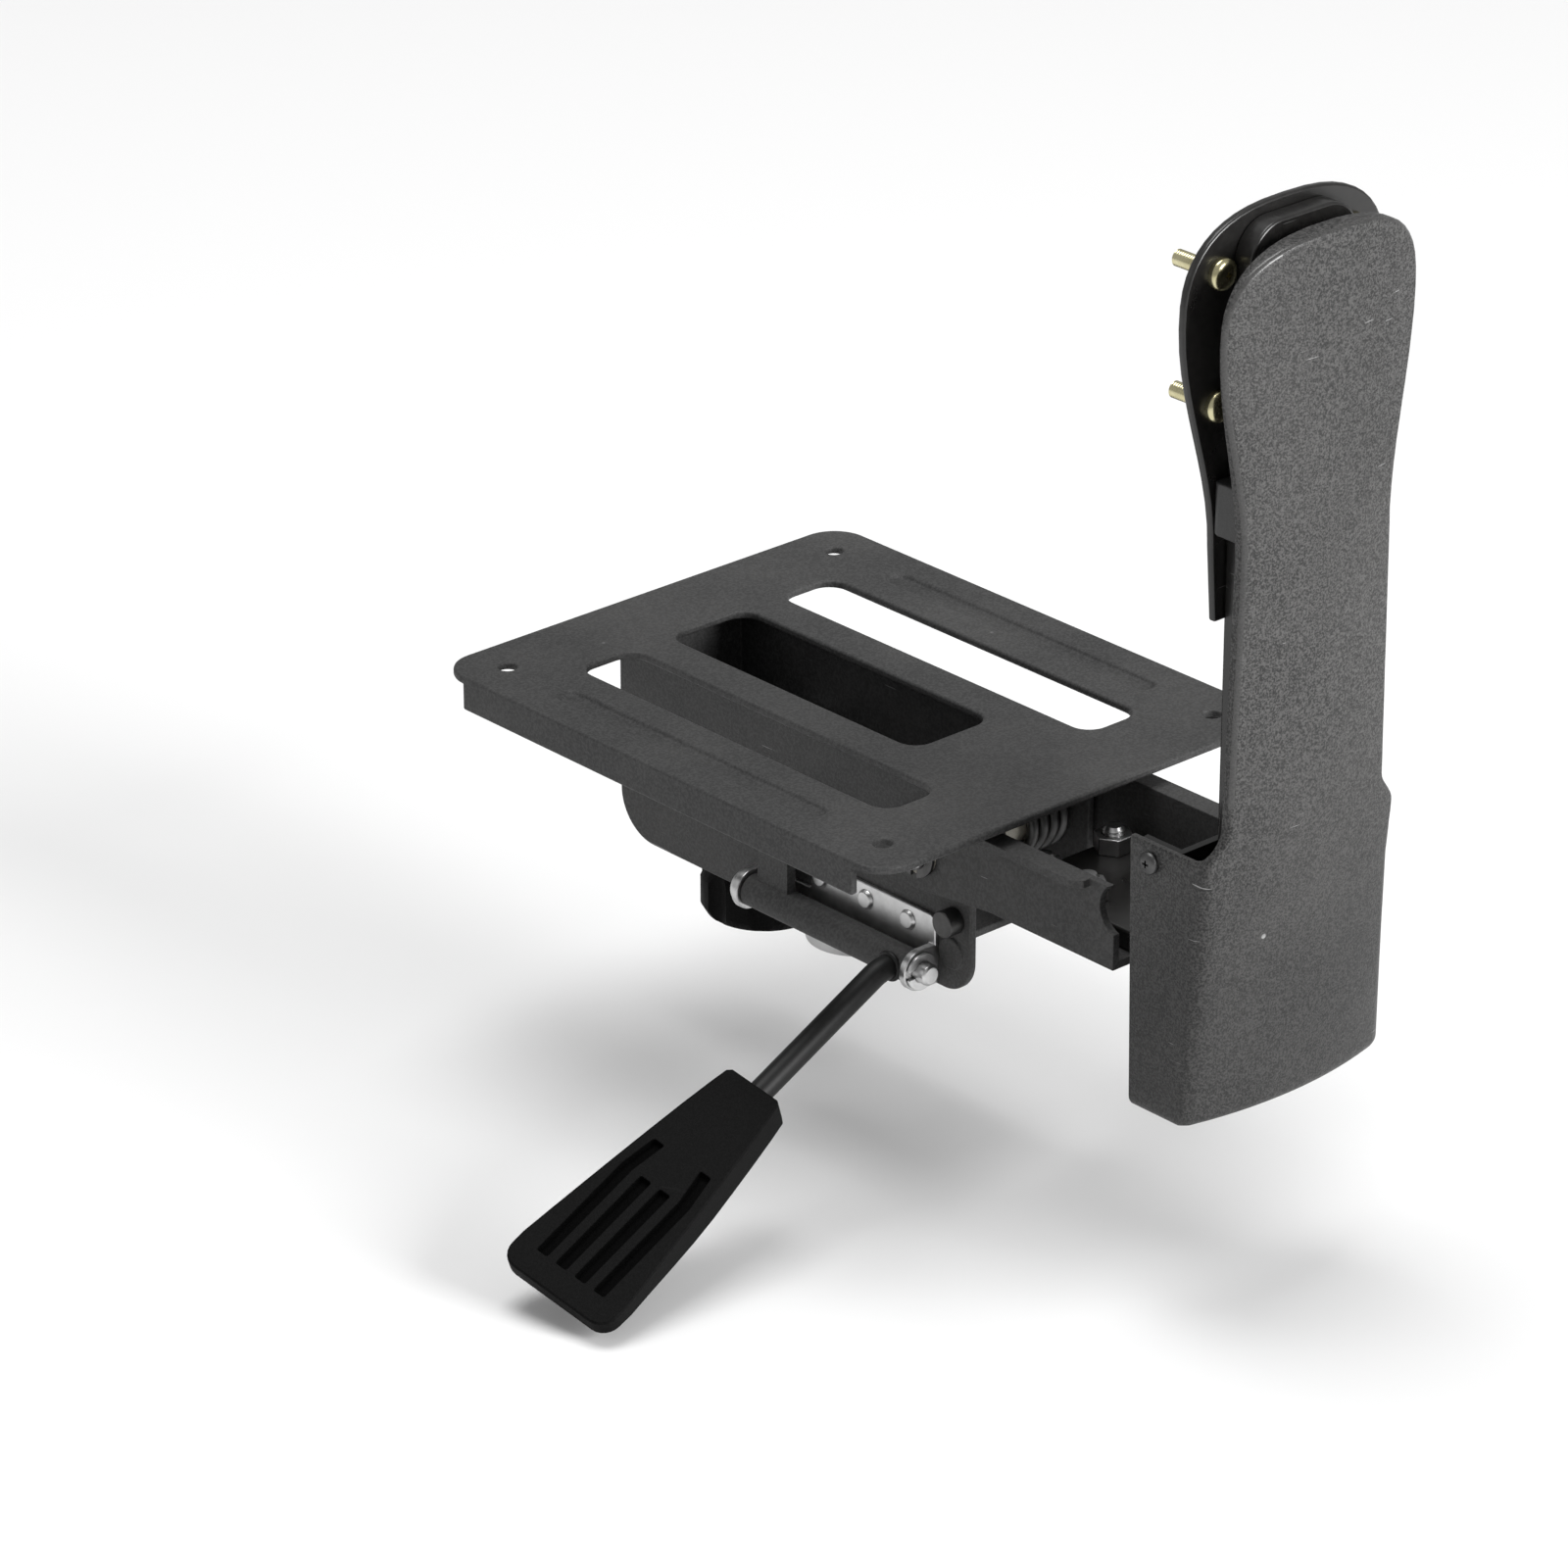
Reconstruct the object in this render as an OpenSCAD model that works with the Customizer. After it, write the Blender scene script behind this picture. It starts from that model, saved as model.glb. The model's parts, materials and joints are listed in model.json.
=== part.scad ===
// Office chair tilt mechanism: sprung back tilt, height lever and back upright.
// Origin on the gas column axis at the socket's lower mouth, +Z up, -Y to the front of the seat.

/* [Housing] */
// Outside width of the pressed housing
housing_w = 60; // [58:1:66]
// Front end of the housing, ahead of the column axis
housing_front = 96; // [88:1:110]
// Rear end of the housing walls, behind the column axis
housing_rear = 92; // [92:1:97]
// Rear end of the housing floor, behind the column axis
floor_rear = 58; // [40:1:66]
// Height of the housing floor above the socket mouth
floor_z = 18; // [16:1:19]
// Sheet thickness of the pressed steel pieces
sheet_t = 3; // [2.5:0.5:3.5]
// Corner radius at the front of the housing
front_corner_r = 18; // [8:1:24]
// Corner radius at the rear of the housing walls
rear_corner_r = 13; // [4:1:14]

/* [Gas socket] */
// Radius of the taper at the lower mouth
socket_mouth_r = 14.2; // [13.8:0.1:14.6]
// Radius of the taper at the upper end
socket_top_r = 13; // [12.6:0.1:13.4]
// Outside radius of the socket tube
socket_r = 18.5; // [17.5:0.5:19.5]
// Length of the socket tube
socket_h = 50; // [44:1:52]

/* [Seat plate] */
// Height of the seat plate's upper face
seat_z = 98; // [96:1:106]
// Hole spacing across the seat
seat_hole_x = 160; // [150:1:180]
// Hole spacing along the seat
seat_hole_y = 200; // [190:1:220]
// Radius of the seat bolt holes
seat_hole_r = 3.5; // [3:0.1:4.5]
// Width of the plate's rails and straps
rail_w = 36; // [30:1:40]
// Depth of the turned down edges
seat_lip_h = 10; // [6:1:12]

/* [Tilt pivot] */
// Distance of the tilt shaft behind the column axis
shaft_y = 70; // [68:1:72]
// Height of the tilt shaft
shaft_z = 70; // [69:1:73]
// Radius of the tilt shaft
shaft_r = 6; // [5:0.5:7]
// Largest recline angle of the back
recline = 18; // [12:1:20]

/* [Springs] */
// Wire diameter of the torsion springs
wire_d = 4.4; // [3.6:0.2:4.6]
// Turns of each torsion spring
spring_turns = 4; // [2:1:4]
// Distance from turn to turn
spring_pitch = 5; // [5:0.1:5.2]
// Reach of the rear legs behind the shaft
leg_reach = 48; // [44:1:54]

/* [Tension adjuster] */
// Distance of the adjuster ahead of the column axis
adjuster_y = 50; // [48:1:56]
// Radius of the tension bolt
bolt_r = 5; // [4:0.5:5.5]
// Travel of the tension bar
bar_travel = 6; // [3:0.5:8]
// Height of the tension bar
bar_h = 8; // [6:0.5:10]
// Radius of the tension knob
knob_r = 24; // [20:1:26]
// Height of the tension knob
knob_h = 24; // [20:1:26]
// Finger hollows around the knob
knob_lobes = 8; // [5:1:10]

/* [Back arm] */
// Height of the underside of the arm
arm_z = 59; // [58:1:61]
// Rear end of the arm behind the column axis
arm_rear = 168; // [160:1:174]
// Height of the arm's side walls
arm_h = 31; // [26:1:32]
// Front edge of the arm's floor behind the column axis
arm_floor_front = 106; // [104:1:108]
// Width of the arm's turned out top flange
arm_flange_w = 6; // [4:1:9]

/* [Back upright] */
// Width of the flat bar
bar_w = 50; // [46:1:50]
// Thickness of the flat bar
flat_t = 8; // [6:0.5:8]
// Front face of the upright leg behind the column axis
upright_y = 206; // [204:1:208]
// Height of the upper end of the flat bar
upright_top = 336; // [320:1:342]
// Inner bend radius of the flat bar
bend_r = 14; // [10:1:18]
// Height of the back plate's upper end above the flat bar
plate_over = 8; // [4:1:14]
// Half width of the back plate at its shoulder
plate_half = 47; // [42:1:50]
// Spacing of the back screws across
screw_x = 62; // [62:1:68]
// Spacing of the back screws upward
screw_z = 46; // [40:1:50]
// Depth of the lower pair of back screws below the top of the flat bar
screw_drop = 58; // [56:1:64]
// Radius of the back screws' shanks
screw_r = 3; // [2.5:0.5:3]
// Length of shank that stands out in front of the back plate
screw_reach = 17; // [10:1:22]

/* [Back cover] */
// Wall thickness of the cover
cover_t = 3; // [2:0.5:3.5]
// Lower edge of the cover
cover_bottom = 20; // [15:0.5:26]
// Upper edge of the cover's lower box
box_top = 120; // [118:1:126]
// Half width of the lower box at its upper edge
box_half = 45; // [43:0.5:47]
// Widening of the lower box on each side, down to its foot
foot_out = 3.5; // [2:0.5:7]
// Front edge of the lower box behind the column axis
box_front = 185; // [180:1:188]
// Rear face of the cover at its side edges
cover_rear = 221.5; // [220.5:0.5:228]
// Crown of the cover's rear face
crown = 6; // [4:0.5:9]
// Half width of the cover's neck
neck_half = 35; // [34:0.5:40]
// Half width of the cover's head
head_half = 44.5; // [42:0.5:50]
// Height of the cover's upper end above the flat bar
cover_over = 1; // [0:0.5:6]

/* [Lever] */
// Distance of the lever's pin from the housing wall
pin_out = 9; // [8.5:0.5:12]
// Height of the lever's pin
pin_z = 26.5; // [26:0.5:28]
// Radius of the lever's pin
pin_r = 4; // [3:0.5:4.5]
// Radius of the lever rod
rod_r = 4.5; // [3:0.5:5]
// Distance of the rod behind the column axis
rod_y = 66; // [60:1:66]
// Droop angle of the rod's outer part
droop = 27; // [15:0.5:35]
// Length of the drooping part from the bend to the paddle
rod_reach = 61; // [50:1:90]
// Travel angle of the lever
lever_lift = 7; // [4:0.5:7]
// Length of the paddle
paddle_l = 106; // [90:1:115]
// Width of the paddle at the rod
paddle_w0 = 24; // [20:1:30]
// Width of the paddle at its end
paddle_w1 = 50; // [40:1:52]
// Thickness of the paddle
paddle_t = 14; // [12:0.5:16]
// Roll of the paddle about the rod
paddle_roll = 16; // [0:1:60]
// Grooves in the paddle's face
grooves = 4; // [2:1:4]

/* [Fits] */
// Radial running clearance of shafts and pins
run_gap = 0.05; // [0.02:0.01:0.09]
// Gap between faces that move past each other
face_gap = 0.3; // [0.2:0.05:0.4]
// Gap between the housing wall and the arm wall
side_gap = 2; // [1.5:0.1:2.5]

/* [Hidden] */
$fn = 48;

paint = "#2b2c2e";
zinc = "#c9cccd";
charcoal = "#4a4b4d";
black = "#17181a";

// Housing and seat plate
half_w = housing_w / 2;
inner_half = half_w - sheet_t;
wall_top = seat_z - sheet_t;
floor_top = floor_z + sheet_t;
rail_x = seat_hole_x / 2;
strap_y = seat_hole_y / 2;
spine_half = half_w + 6;
plate_corner_r = 14;
slot_corner_r = 8;
mid_slot_half = 19;
boss_y = housing_rear - 9.2;
boss_z = floor_z + 15;
boss_r = 6;
boss_h = 1.2;

// Arm around the housing
arm_in = half_w + side_gap;
arm_out = arm_in + sheet_t;
arm_floor_top = arm_z + sheet_t;
arm_top = arm_z + arm_h;
arm_boss_r = shaft_z - arm_z + 4;
bush_r = shaft_r + 3;
bush_flange_r = shaft_r + 7;
bush_end = arm_out + face_gap;
ring_t = 1.5;
ring_x = bush_end + face_gap;
shaft_end = ring_x + ring_t + 3;

// Springs: both legs leave at the bottom of the coil
wire_r = wire_d / 2;
leg_z = arm_z - face_gap - wire_r;
spring_r = shaft_z - leg_z;
leg_x = inner_half - wire_r - face_gap - 0.2;
turn_steps = 8;
turns = min(spring_turns, floor((leg_x - wire_r - face_gap) / spring_pitch));
sleeve_r = spring_r * cos(180 / turn_steps) - wire_r - face_gap;
bar_z = leg_z + wire_r + face_gap;
bar_d = 16;
front_leg_end = -adjuster_y - bar_d / 2 - 3;

// Tension adjuster
washer_t = 1.6;
knob_top = floor_z - washer_t - face_gap / 3;
insert_r = bolt_r + 3;
bolt_head_r = bolt_r * 1.7;
bolt_head_h = bolt_r * 1.1;
bolt_low = knob_top - knob_h * 0.55;

// Arm bolts
arm_bolt_x = 17;
arm_bolt_y = [arm_floor_front + 9, arm_floor_front + 31];
arm_bolt_r = 4;
arm_bolt_head_r = 7;
arm_bolt_head_h = 6.5;
arm_nut_h = 6.5;
bolt_gap = 0.4;

// Stops
pad_y = housing_rear + 9;
pad_r = 6;
stop_y = housing_rear - 8;
stop_r = 5;
stop_shank_r = 3;
// Slope of the arm's lower edge at rest and at full recline
edge_slope = asin((arm_boss_r - (shaft_z - arm_z)) / norm([arm_floor_front - shaft_y, 1]));
full_slope = recline - edge_slope;
stop_edge_z = shaft_z - arm_boss_r / cos(full_slope) - (stop_y - shaft_y) * tan(full_slope);
stop_z = stop_edge_z - (stop_r + face_gap) / cos(full_slope);

// Back upright
upright_rear = upright_y + flat_t;
lower_leg_z = arm_floor_top;
lower_leg_front = arm_floor_front + 2;
top_corner_r = 14;
plate_top = upright_top + plate_over;
plate_cap_h = 36;
plate_shoulder_z = plate_top - plate_cap_h;
plate_waist_drop = 109;
plate_waist_z = upright_top - plate_waist_drop;
plate_waist_half = 31;
plate_drop = 136;
plate_bottom = upright_top - plate_drop;
plate_low_half = 29;
plate_y = upright_y - sheet_t;
screw_low_z = upright_top - screw_drop;
screw_relief = 0.5;
screw_neck_r = screw_r - 0.2;
screw_head_r = min(6.5, screw_x / 2 - bar_w / 2 - face_gap);
screw_head_h = 4;

// Back cover
cover_top = upright_top + cover_over;
cap_h = 32;
shoulder_z = cover_top - cap_h;
neck_drop = 106;
neck_z = upright_top - neck_drop;
upper_half = neck_half + 2.2;
flare_h = 7;
tray_front = cover_rear - 1.8;
front_lean = 5.5;
front_past = 20;
foot_half = box_half + foot_out;
box_lean = 2.5;
box_proud = 0.3;
foot_corner_r = 4.5;
corner_r = 6.5;
wall_lean = atan((foot_half - box_half) / (box_top - cover_bottom));
crown_r = (head_half * head_half + crown * crown) / (2 * crown);
crown_y = cover_rear + crown - crown_r;
strap_z = box_top - 7;
strap_h = 12;
cover_screw_r = 1.6;
cover_screw_head_r = 4;
cover_screw_y = box_front + 9.5;
clip_z = neck_z + 3;
clip_h = 19;
clip_out = neck_half - 1.5;

// Lever
pin_x = half_w + pin_out;
ear_t = 3;
ear_front = -16;
ear_rear = rod_y + 10;
tube_r = pin_r + 2.2;
bracket_t = 2;
rivet_r = 2.5;
rivet_head_r = 4;
rivet_z = pin_z + tube_r + 6.5;
rivet_y = [16, 40, 62];
finger_t = 4;
finger_z = leg_z + wire_r + 2.2;
finger_half = 8;
finger_gap = 3;
bracket_edge = 6;
finger_tip = -9;
rod_bend_x = pin_x + 6.5;
rod_bend_r = 16;
rod_grip = 30;
clip_t = 1.2;
groove_w = 5;
groove_step = 9;
groove_d = 2.6;
groove_l = 39;
groove_bend = 14;
groove_inset = 12.5;
paddle_flare = 0.88 * paddle_l;
paddle_corner_r = 7;
paddle_neck_r = 1.2;

function smooth(t) = let (u = min(max(t, 0), 1)) u * u * (3 - 2 * u);

// Spoon outline: straight to the waist, swelling to the shoulder, then a superellipse cap
function spoon_side(z0, w0, z1, w1, z2, w2, top) =
  concat(
    [[w0, z0]],
    [for (i = [0:10]) [w1 + (w2 - w1) * smooth(i / 10), z1 + (z2 - z1) * i / 10]],
    [for (a = [7.5:7.5:82.5]) [w2 * pow(cos(a), 0.77), z2 + (top - z2) * pow(sin(a), 0.77)]],
    [[0, top]]
  );
function mirror_outline(side) =
  concat(side, [for (i = [len(side) - 2:-1:0]) [-side[i][0], side[i][1]]]);

// Tube swept along a path that stays close to planes square to X
function unit(v) = v / norm(v);
function tangent(path, i) =
  unit(path[min(i + 1, len(path) - 1)] - path[max(i - 1, 0)]);
function ring(p, t, r, sides) =
  let (u = unit([1, 0, 0] - t[0] * t), v = cross(t, u))
  [for (k = [0:sides - 1]) p + r * (cos(360 * k / sides) * u + sin(360 * k / sides) * v)];

module tube_along(path, r, sides = 6) {
  n = len(path);
  points = [for (i = [0:n - 1]) each ring(path[i], tangent(path, i), r, sides)];
  walls = [
    for (i = [0:n - 2], k = [0:sides - 1])
      let (a = i * sides + k, b = i * sides + (k + 1) % sides)
      each [[a, a + sides, b + sides], [a, b + sides, b]]
  ];
  first = [for (k = [1:sides - 2]) [0, k, k + 1]];
  last_start = (n - 1) * sides;
  last = [for (k = [1:sides - 2]) [last_start, last_start + k + 1, last_start + k]];
  polyhedron(points, concat(walls, first, last));
}

// Profile in Y and Z, extruded evenly about the middle plane
module along_x(length) rotate([90, 0, 90]) linear_extrude(length, center = true) children();

// Profile in Y and Z, extruded from x0 to x1
module between_x(x0, x1) translate([x0, 0, 0]) rotate([90, 0, 90]) linear_extrude(x1 - x0) children();

// Profile in X and Z, extruded from y0 to y1
module between_y(y0, y1) translate([0, y1, 0]) rotate([90, 0, 0]) linear_extrude(y1 - y0) children();

module round_x(r, x0, x1) translate([x0, 0, 0]) rotate([0, 90, 0]) cylinder(r = r, h = x1 - x0);
module round_y(r, y0, y1) translate([0, y0, 0]) rotate([-90, 0, 0]) cylinder(r = r, h = y1 - y0);
module both_sides() {
  children();
  mirror([1, 0, 0]) children();
}

// Rectangle from p to q with round corners, made of exact arcs
module rounded(p, q, r) {
  translate([p[0] + r, p[1]]) square([q[0] - p[0] - 2 * r, q[1] - p[1]]);
  translate([p[0], p[1] + r]) square([q[0] - p[0], q[1] - p[1] - 2 * r]);
  for (x = [p[0] + r, q[0] - r], y = [p[1] + r, q[1] - r]) translate([x, y]) circle(r);
}

// Offset of point i of a line of points, square to it or along the mitre of a corner
function aside(points, i) =
  let (
    before = points[max(i, 1)] - points[max(i, 1) - 1],
    after = points[min(i + 1, len(points) - 1)] - points[min(i, len(points) - 2)],
    u = unit([-before[1], before[0]]),
    v = unit([-after[1], after[0]])
  )
  (u + v) / (1 + u * v);

// Slot along the given points; its round ends are a hair wider, so that no edge only touches them
module slot(points, r) {
  last = len(points) - 1;
  polygon(concat(
    [for (i = [0:last]) points[i] + r * aside(points, i)],
    [for (i = [last:-1:0]) points[i] - r * aside(points, i)]
  ));
  for (i = [0, last]) translate(points[i]) circle(1.02 * r);
}

// Side view of the housing, with round lower corners
module tub_side(inset, rear) {
  y0 = -housing_front + inset;
  z0 = floor_z + inset;
  rf = front_corner_r - inset;
  rr = rear_corner_r;
  translate([y0 + rf, z0]) square([rear - y0 - rf - rr, wall_top - z0]);
  translate([y0, z0 + rf]) square([rear - y0, wall_top - z0 - rf]);
  translate([rear - rr - 1, z0 + rr]) square([rr + 1, wall_top - z0 - rr]);
  translate([y0 + rf, z0 + rf]) circle(rf);
  translate([rear - rr, z0 + rr]) circle(rr);
}

module housing() {
  color(paint) difference() {
    union() {
      difference() {
        along_x(housing_w) tub_side(0, housing_rear);
        along_x(2 * inner_half) tub_side(sheet_t, housing_rear + 2 * rear_corner_r);
        translate([-inner_half, floor_rear, floor_z - 1])
          cube([2 * inner_half, housing_rear, sheet_t + 2]);
      }
      both_sides() translate([0, boss_y, boss_z]) round_x(boss_r, half_w, half_w + boss_h);
    }
    translate([0, 0, floor_z - 1]) cylinder(r = socket_r + run_gap, h = sheet_t + 2);
    translate([0, -adjuster_y, floor_z - 1]) cylinder(r = bolt_r + 1, h = sheet_t + 2);
    translate([0, shaft_y, shaft_z]) round_x(shaft_r + run_gap, -housing_w, housing_w);
    translate([0, stop_y, stop_z]) round_x(stop_shank_r + run_gap, -housing_w, housing_w);
    for (y = rivet_y) translate([0, y, rivet_z]) round_x(rivet_r + run_gap, 0, housing_w);
    between_x(0, housing_w)
      rounded(
        [-finger_half - finger_gap, finger_z - finger_gap - 2],
        [finger_half + finger_gap, finger_z + finger_t + finger_gap], 3
      );
  }
}

module gas_socket() {
  color(zinc) rotate_extrude()
    polygon([[socket_mouth_r, 0], [socket_r, 0], [socket_r, socket_h], [socket_top_r, socket_h]]);
}

module seat_plate() {
  x1 = rail_x + rail_w / 2;
  y1 = strap_y + rail_w / 2;
  x0 = rail_x - rail_w / 2;
  y0 = strap_y - rail_w / 2;
  color(paint) {
    translate([0, 0, wall_top]) linear_extrude(sheet_t) difference() {
      rounded([-x1, -y1], [x1, y1], plate_corner_r);
      both_sides() rounded([spine_half, -y0], [x0, y0], slot_corner_r);
      rounded([-mid_slot_half, -y0], [mid_slot_half, shaft_y - spring_r - 6], slot_corner_r);
      for (x = [-rail_x, rail_x], y = [-strap_y, strap_y]) translate([x, y]) circle(seat_hole_r);
    }
    both_sides() translate([x1 - sheet_t, -y1 + plate_corner_r, wall_top - seat_lip_h])
      cube([sheet_t, 2 * (y1 - plate_corner_r), seat_lip_h]);
  }
}

module main_shaft() {
  color(zinc) translate([0, shaft_y, shaft_z]) rotate([0, 90, 0]) rotate_extrude()
    polygon([
      [0, -shaft_end], [shaft_r - 1, -shaft_end], [shaft_r, -shaft_end + 1],
      [shaft_r, shaft_end - 1], [shaft_r - 1, shaft_end], [0, shaft_end]
    ]);
}

module shaft_rings() {
  color(black) both_sides() translate([0, shaft_y, shaft_z]) difference() {
    round_x(shaft_r + 3.5, ring_x, ring_x + ring_t);
    round_x(shaft_r + run_gap, ring_x - 1, ring_x + ring_t + 1);
    translate([ring_x - 1, -1.5, -2 * shaft_r - 4]) cube([ring_t + 2, 3, 2 * shaft_r + 4]);
  }
}

module spring_sleeve() {
  color("#8d8a80") translate([0, shaft_y, shaft_z]) difference() {
    round_x(sleeve_r, -inner_half + face_gap, inner_half - face_gap);
    round_x(shaft_r + run_gap, -housing_w, housing_w);
  }
}

// Path of the left spring: front leg, turns around the shaft, rear leg
turn_points = [
  for (i = [0:turn_steps * turns])
    let (a = 360 * i / turn_steps)
    [
      leg_x - spring_pitch * i / turn_steps,
      shaft_y + spring_r * sin(a),
      shaft_z - spring_r * cos(a)
    ]
];
inner_leg_x = leg_x - spring_pitch * turns;
spring_path = concat(
  [[leg_x, front_leg_end, leg_z], [leg_x, front_leg_end + wire_d, leg_z]],
  [[leg_x, shaft_y - spring_r, leg_z]],
  turn_points,
  [[inner_leg_x, shaft_y + leg_reach - wire_d, leg_z], [inner_leg_x, shaft_y + leg_reach, leg_z]]
);
least_turn_gap = min([
  for (i = [0:len(turn_points) - 1], j = [0:len(turn_points) - 1])
    if (j > i + turn_steps / 2) norm(turn_points[i] - turn_points[j])
]) - wire_d;
echo(str("least gap between the turns of a torsion spring: ", least_turn_gap, " mm"));

module spring_left() {
  color("#3a3b3d") tube_along(spring_path, wire_r);
}

module spring_right() {
  color("#3a3b3d") mirror([1, 0, 0]) tube_along(spring_path, wire_r);
}

module lever_ear() {
  difference() {
    union() {
      translate([half_w, pin_z - tube_r - 1.5]) square([pin_x - half_w, 2 * tube_r + 3]);
      translate([pin_x, pin_z]) circle(tube_r + 1.5);
    }
    translate([pin_x, pin_z]) circle(pin_r + run_gap);
  }
}

module lever_bracket() {
  color(zinc) difference() {
    union() {
      between_x(half_w, half_w + bracket_t)
        rounded([ear_front, pin_z - tube_r - 1.5], [ear_rear, rivet_z + bracket_edge], 3);
      between_y(ear_front, ear_front + ear_t) lever_ear();
      between_y(ear_rear - ear_t, ear_rear) lever_ear();
    }
    for (y = rivet_y) translate([0, y, rivet_z]) round_x(rivet_r + run_gap, half_w - 1, housing_w);
    between_x(half_w - 1, housing_w)
      rounded(
        [-finger_half - finger_gap, rivet_z - bracket_edge],
        [finger_half + finger_gap, rivet_z + 2 * bracket_edge], 2
      );
  }
}

module lever_pin() {
  front = ear_front - face_gap;
  rear = ear_rear + 6;
  color("#e4e6e6") translate([pin_x, 0, pin_z]) rotate([-90, 0, 0]) rotate_extrude()
    polygon([
      [0, front - 2.5], [pin_r + 1.5, front - 2.5], [pin_r + 2.5, front - 1.5], [pin_r + 2.5, front],
      [pin_r, front], [pin_r, rear - 0.8], [pin_r - 0.8, rear], [0, rear]
    ]);
}

module pin_clip() {
  color(zinc) translate([pin_x, 0, pin_z]) difference() {
    round_y(pin_r + 3, ear_rear + face_gap, ear_rear + face_gap + clip_t);
    round_y(pin_r + run_gap, ear_rear, ear_rear + 4);
    translate([0, ear_rear, -1.5]) cube([2 * pin_r + 4, 4, 3]);
  }
}

module bracket_rivets() {
  x0 = inner_half;
  x1 = half_w + bracket_t;
  color(zinc) for (y = rivet_y) translate([0, y, rivet_z]) rotate([0, 90, 0]) rotate_extrude()
    polygon([
      [0, x0 - 1.4], [rivet_head_r - 1, x0 - 1.4], [rivet_head_r, x0], [rivet_r, x0],
      [rivet_r, x1], [rivet_head_r, x1], [rivet_head_r - 1, x1 + 1.4], [0, x1 + 1.4]
    ]);
}

module stop_pads() {
  color(black) both_sides() translate([(arm_in + arm_out) / 2, pad_y, arm_top + face_gap])
    cylinder(r1 = pad_r - 1, r2 = pad_r, h = wall_top - arm_top - face_gap);
}

module recline_stops() {
  color(black) both_sides() translate([0, stop_y, stop_z]) {
    round_x(stop_shank_r, inner_half, half_w);
    round_x(stop_r, half_w, arm_out + 1.5);
    round_x(stop_r, inner_half - 2, inner_half);
  }
}

module thrust_washer() {
  color(zinc) translate([0, -adjuster_y, floor_z - washer_t]) difference() {
    cylinder(r = insert_r + 5, h = washer_t);
    translate([0, 0, -1]) cylinder(r = bolt_r + 1, h = washer_t + 2);
  }
}

module knob_plan() {
  difference() {
    circle(knob_r);
    for (i = [0:knob_lobes - 1]) rotate(360 * i / knob_lobes) translate([knob_r + 4.5, 0]) circle(7);
  }
}

module tension_knob() {
  low = knob_top - knob_h;
  color(black) translate([0, -adjuster_y, 0]) difference() {
    intersection() {
      translate([0, 0, low]) linear_extrude(knob_h) knob_plan();
      rotate_extrude() polygon([
        [0, low], [knob_r - 6, low], [knob_r - 2, low + 1.5], [knob_r, low + 5],
        [knob_r, knob_top - 8], [knob_r - 5, knob_top], [0, knob_top]
      ]);
    }
    translate([0, 0, bolt_low - bar_travel - 2]) cylinder(r = bolt_r + 1, h = knob_h);
    translate([0, 0, knob_top - knob_h / 2]) cylinder(r = insert_r + run_gap, h = knob_h);
  }
}

module knob_insert() {
  color("#b9a15c") translate([0, -adjuster_y, knob_top - knob_h / 2]) difference() {
    cylinder(r = insert_r, h = knob_h / 2);
    translate([0, 0, -1]) cylinder(r = bolt_r + run_gap, h = knob_h);
  }
}

module tension_bar() {
  y0 = -adjuster_y - bar_d / 2;
  end = inner_half - face_gap - 0.2;
  color(zinc) difference() {
    translate([0, 0, bar_z]) linear_extrude(bar_h) rounded([-end, y0], [end, y0 + bar_d], 3);
    translate([0, -adjuster_y, bar_z - 1]) cylinder(r = bolt_r + run_gap, h = bar_h + 2);
  }
}

module tension_bolt() {
  top = bar_z + bar_h;
  color(zinc) translate([0, -adjuster_y, 0]) {
    translate([0, 0, bolt_low]) cylinder(r = bolt_r, h = top - bolt_low + 1);
    translate([0, 0, top]) cylinder(r = bolt_head_r, h = bolt_head_h, $fn = 6);
  }
}

module lever_tube() {
  top = finger_z + finger_t;
  gap = face_gap + 0.2;
  color("#2f3133") difference() {
    union() {
      translate([pin_x, 0, pin_z]) round_y(tube_r, ear_front + ear_t + gap, ear_rear - ear_t - gap);
      between_y(-finger_half, finger_half) difference() {
        union() {
          translate([pin_x - finger_t / 2, pin_z]) square([finger_t, top - pin_z - 3]);
          translate([finger_tip, finger_z]) square([pin_x - finger_tip - 1, finger_t]);
          translate([pin_x + finger_t / 2 - 3, top - 3]) circle(3);
        }
      }
    }
    translate([pin_x, 0, pin_z]) round_y(pin_r + run_gap, ear_front, ear_rear);
  }
}

// Part of a ring, cut out by a wedge as wide as the droop; the straight parts end inside it
module rod_bend() {
  reach = 2 * (rod_bend_r + rod_r);
  intersection() {
    rotate([90, 0, 0]) rotate_extrude() translate([rod_bend_r, 0]) circle(rod_r + 0.05);
    between_y(-2 * rod_r, 2 * rod_r)
      polygon([[0, 0], [0, reach], [reach * tan(droop / 2), reach], [reach * sin(droop), reach * cos(droop)]]);
  }
}

module lever_rod() {
  color(black) difference() {
    translate([0, rod_y, pin_z]) {
      round_x(rod_r, pin_x, rod_bend_x + 0.5);
      translate([rod_bend_x, 0, -rod_bend_r]) rod_bend();
      translate([rod_bend_x, 0, 0]) lever_outer() round_x(rod_r, -0.5, rod_reach + rod_grip);
    }
    translate([pin_x, 0, pin_z]) round_y(tube_r, 0, 2 * rod_y);
  }
}

// Frame at the outer end of the bend, with X along the drooping part
module lever_outer() {
  translate([rod_bend_r * sin(droop), 0, -rod_bend_r * (1 - cos(droop))])
    rotate([0, droop, 0]) children();
}

function arc(c, r, a0, a1, n = 6) =
  [for (i = [0:n]) c + r * [cos(a0 + (a1 - a0) * i / n), sin(a0 + (a1 - a0) * i / n)]];
function paddle_half(s) = paddle_w0 / 2 + (paddle_w1 - paddle_w0) / 2 * pow(s / paddle_flare, 0.85);

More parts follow.
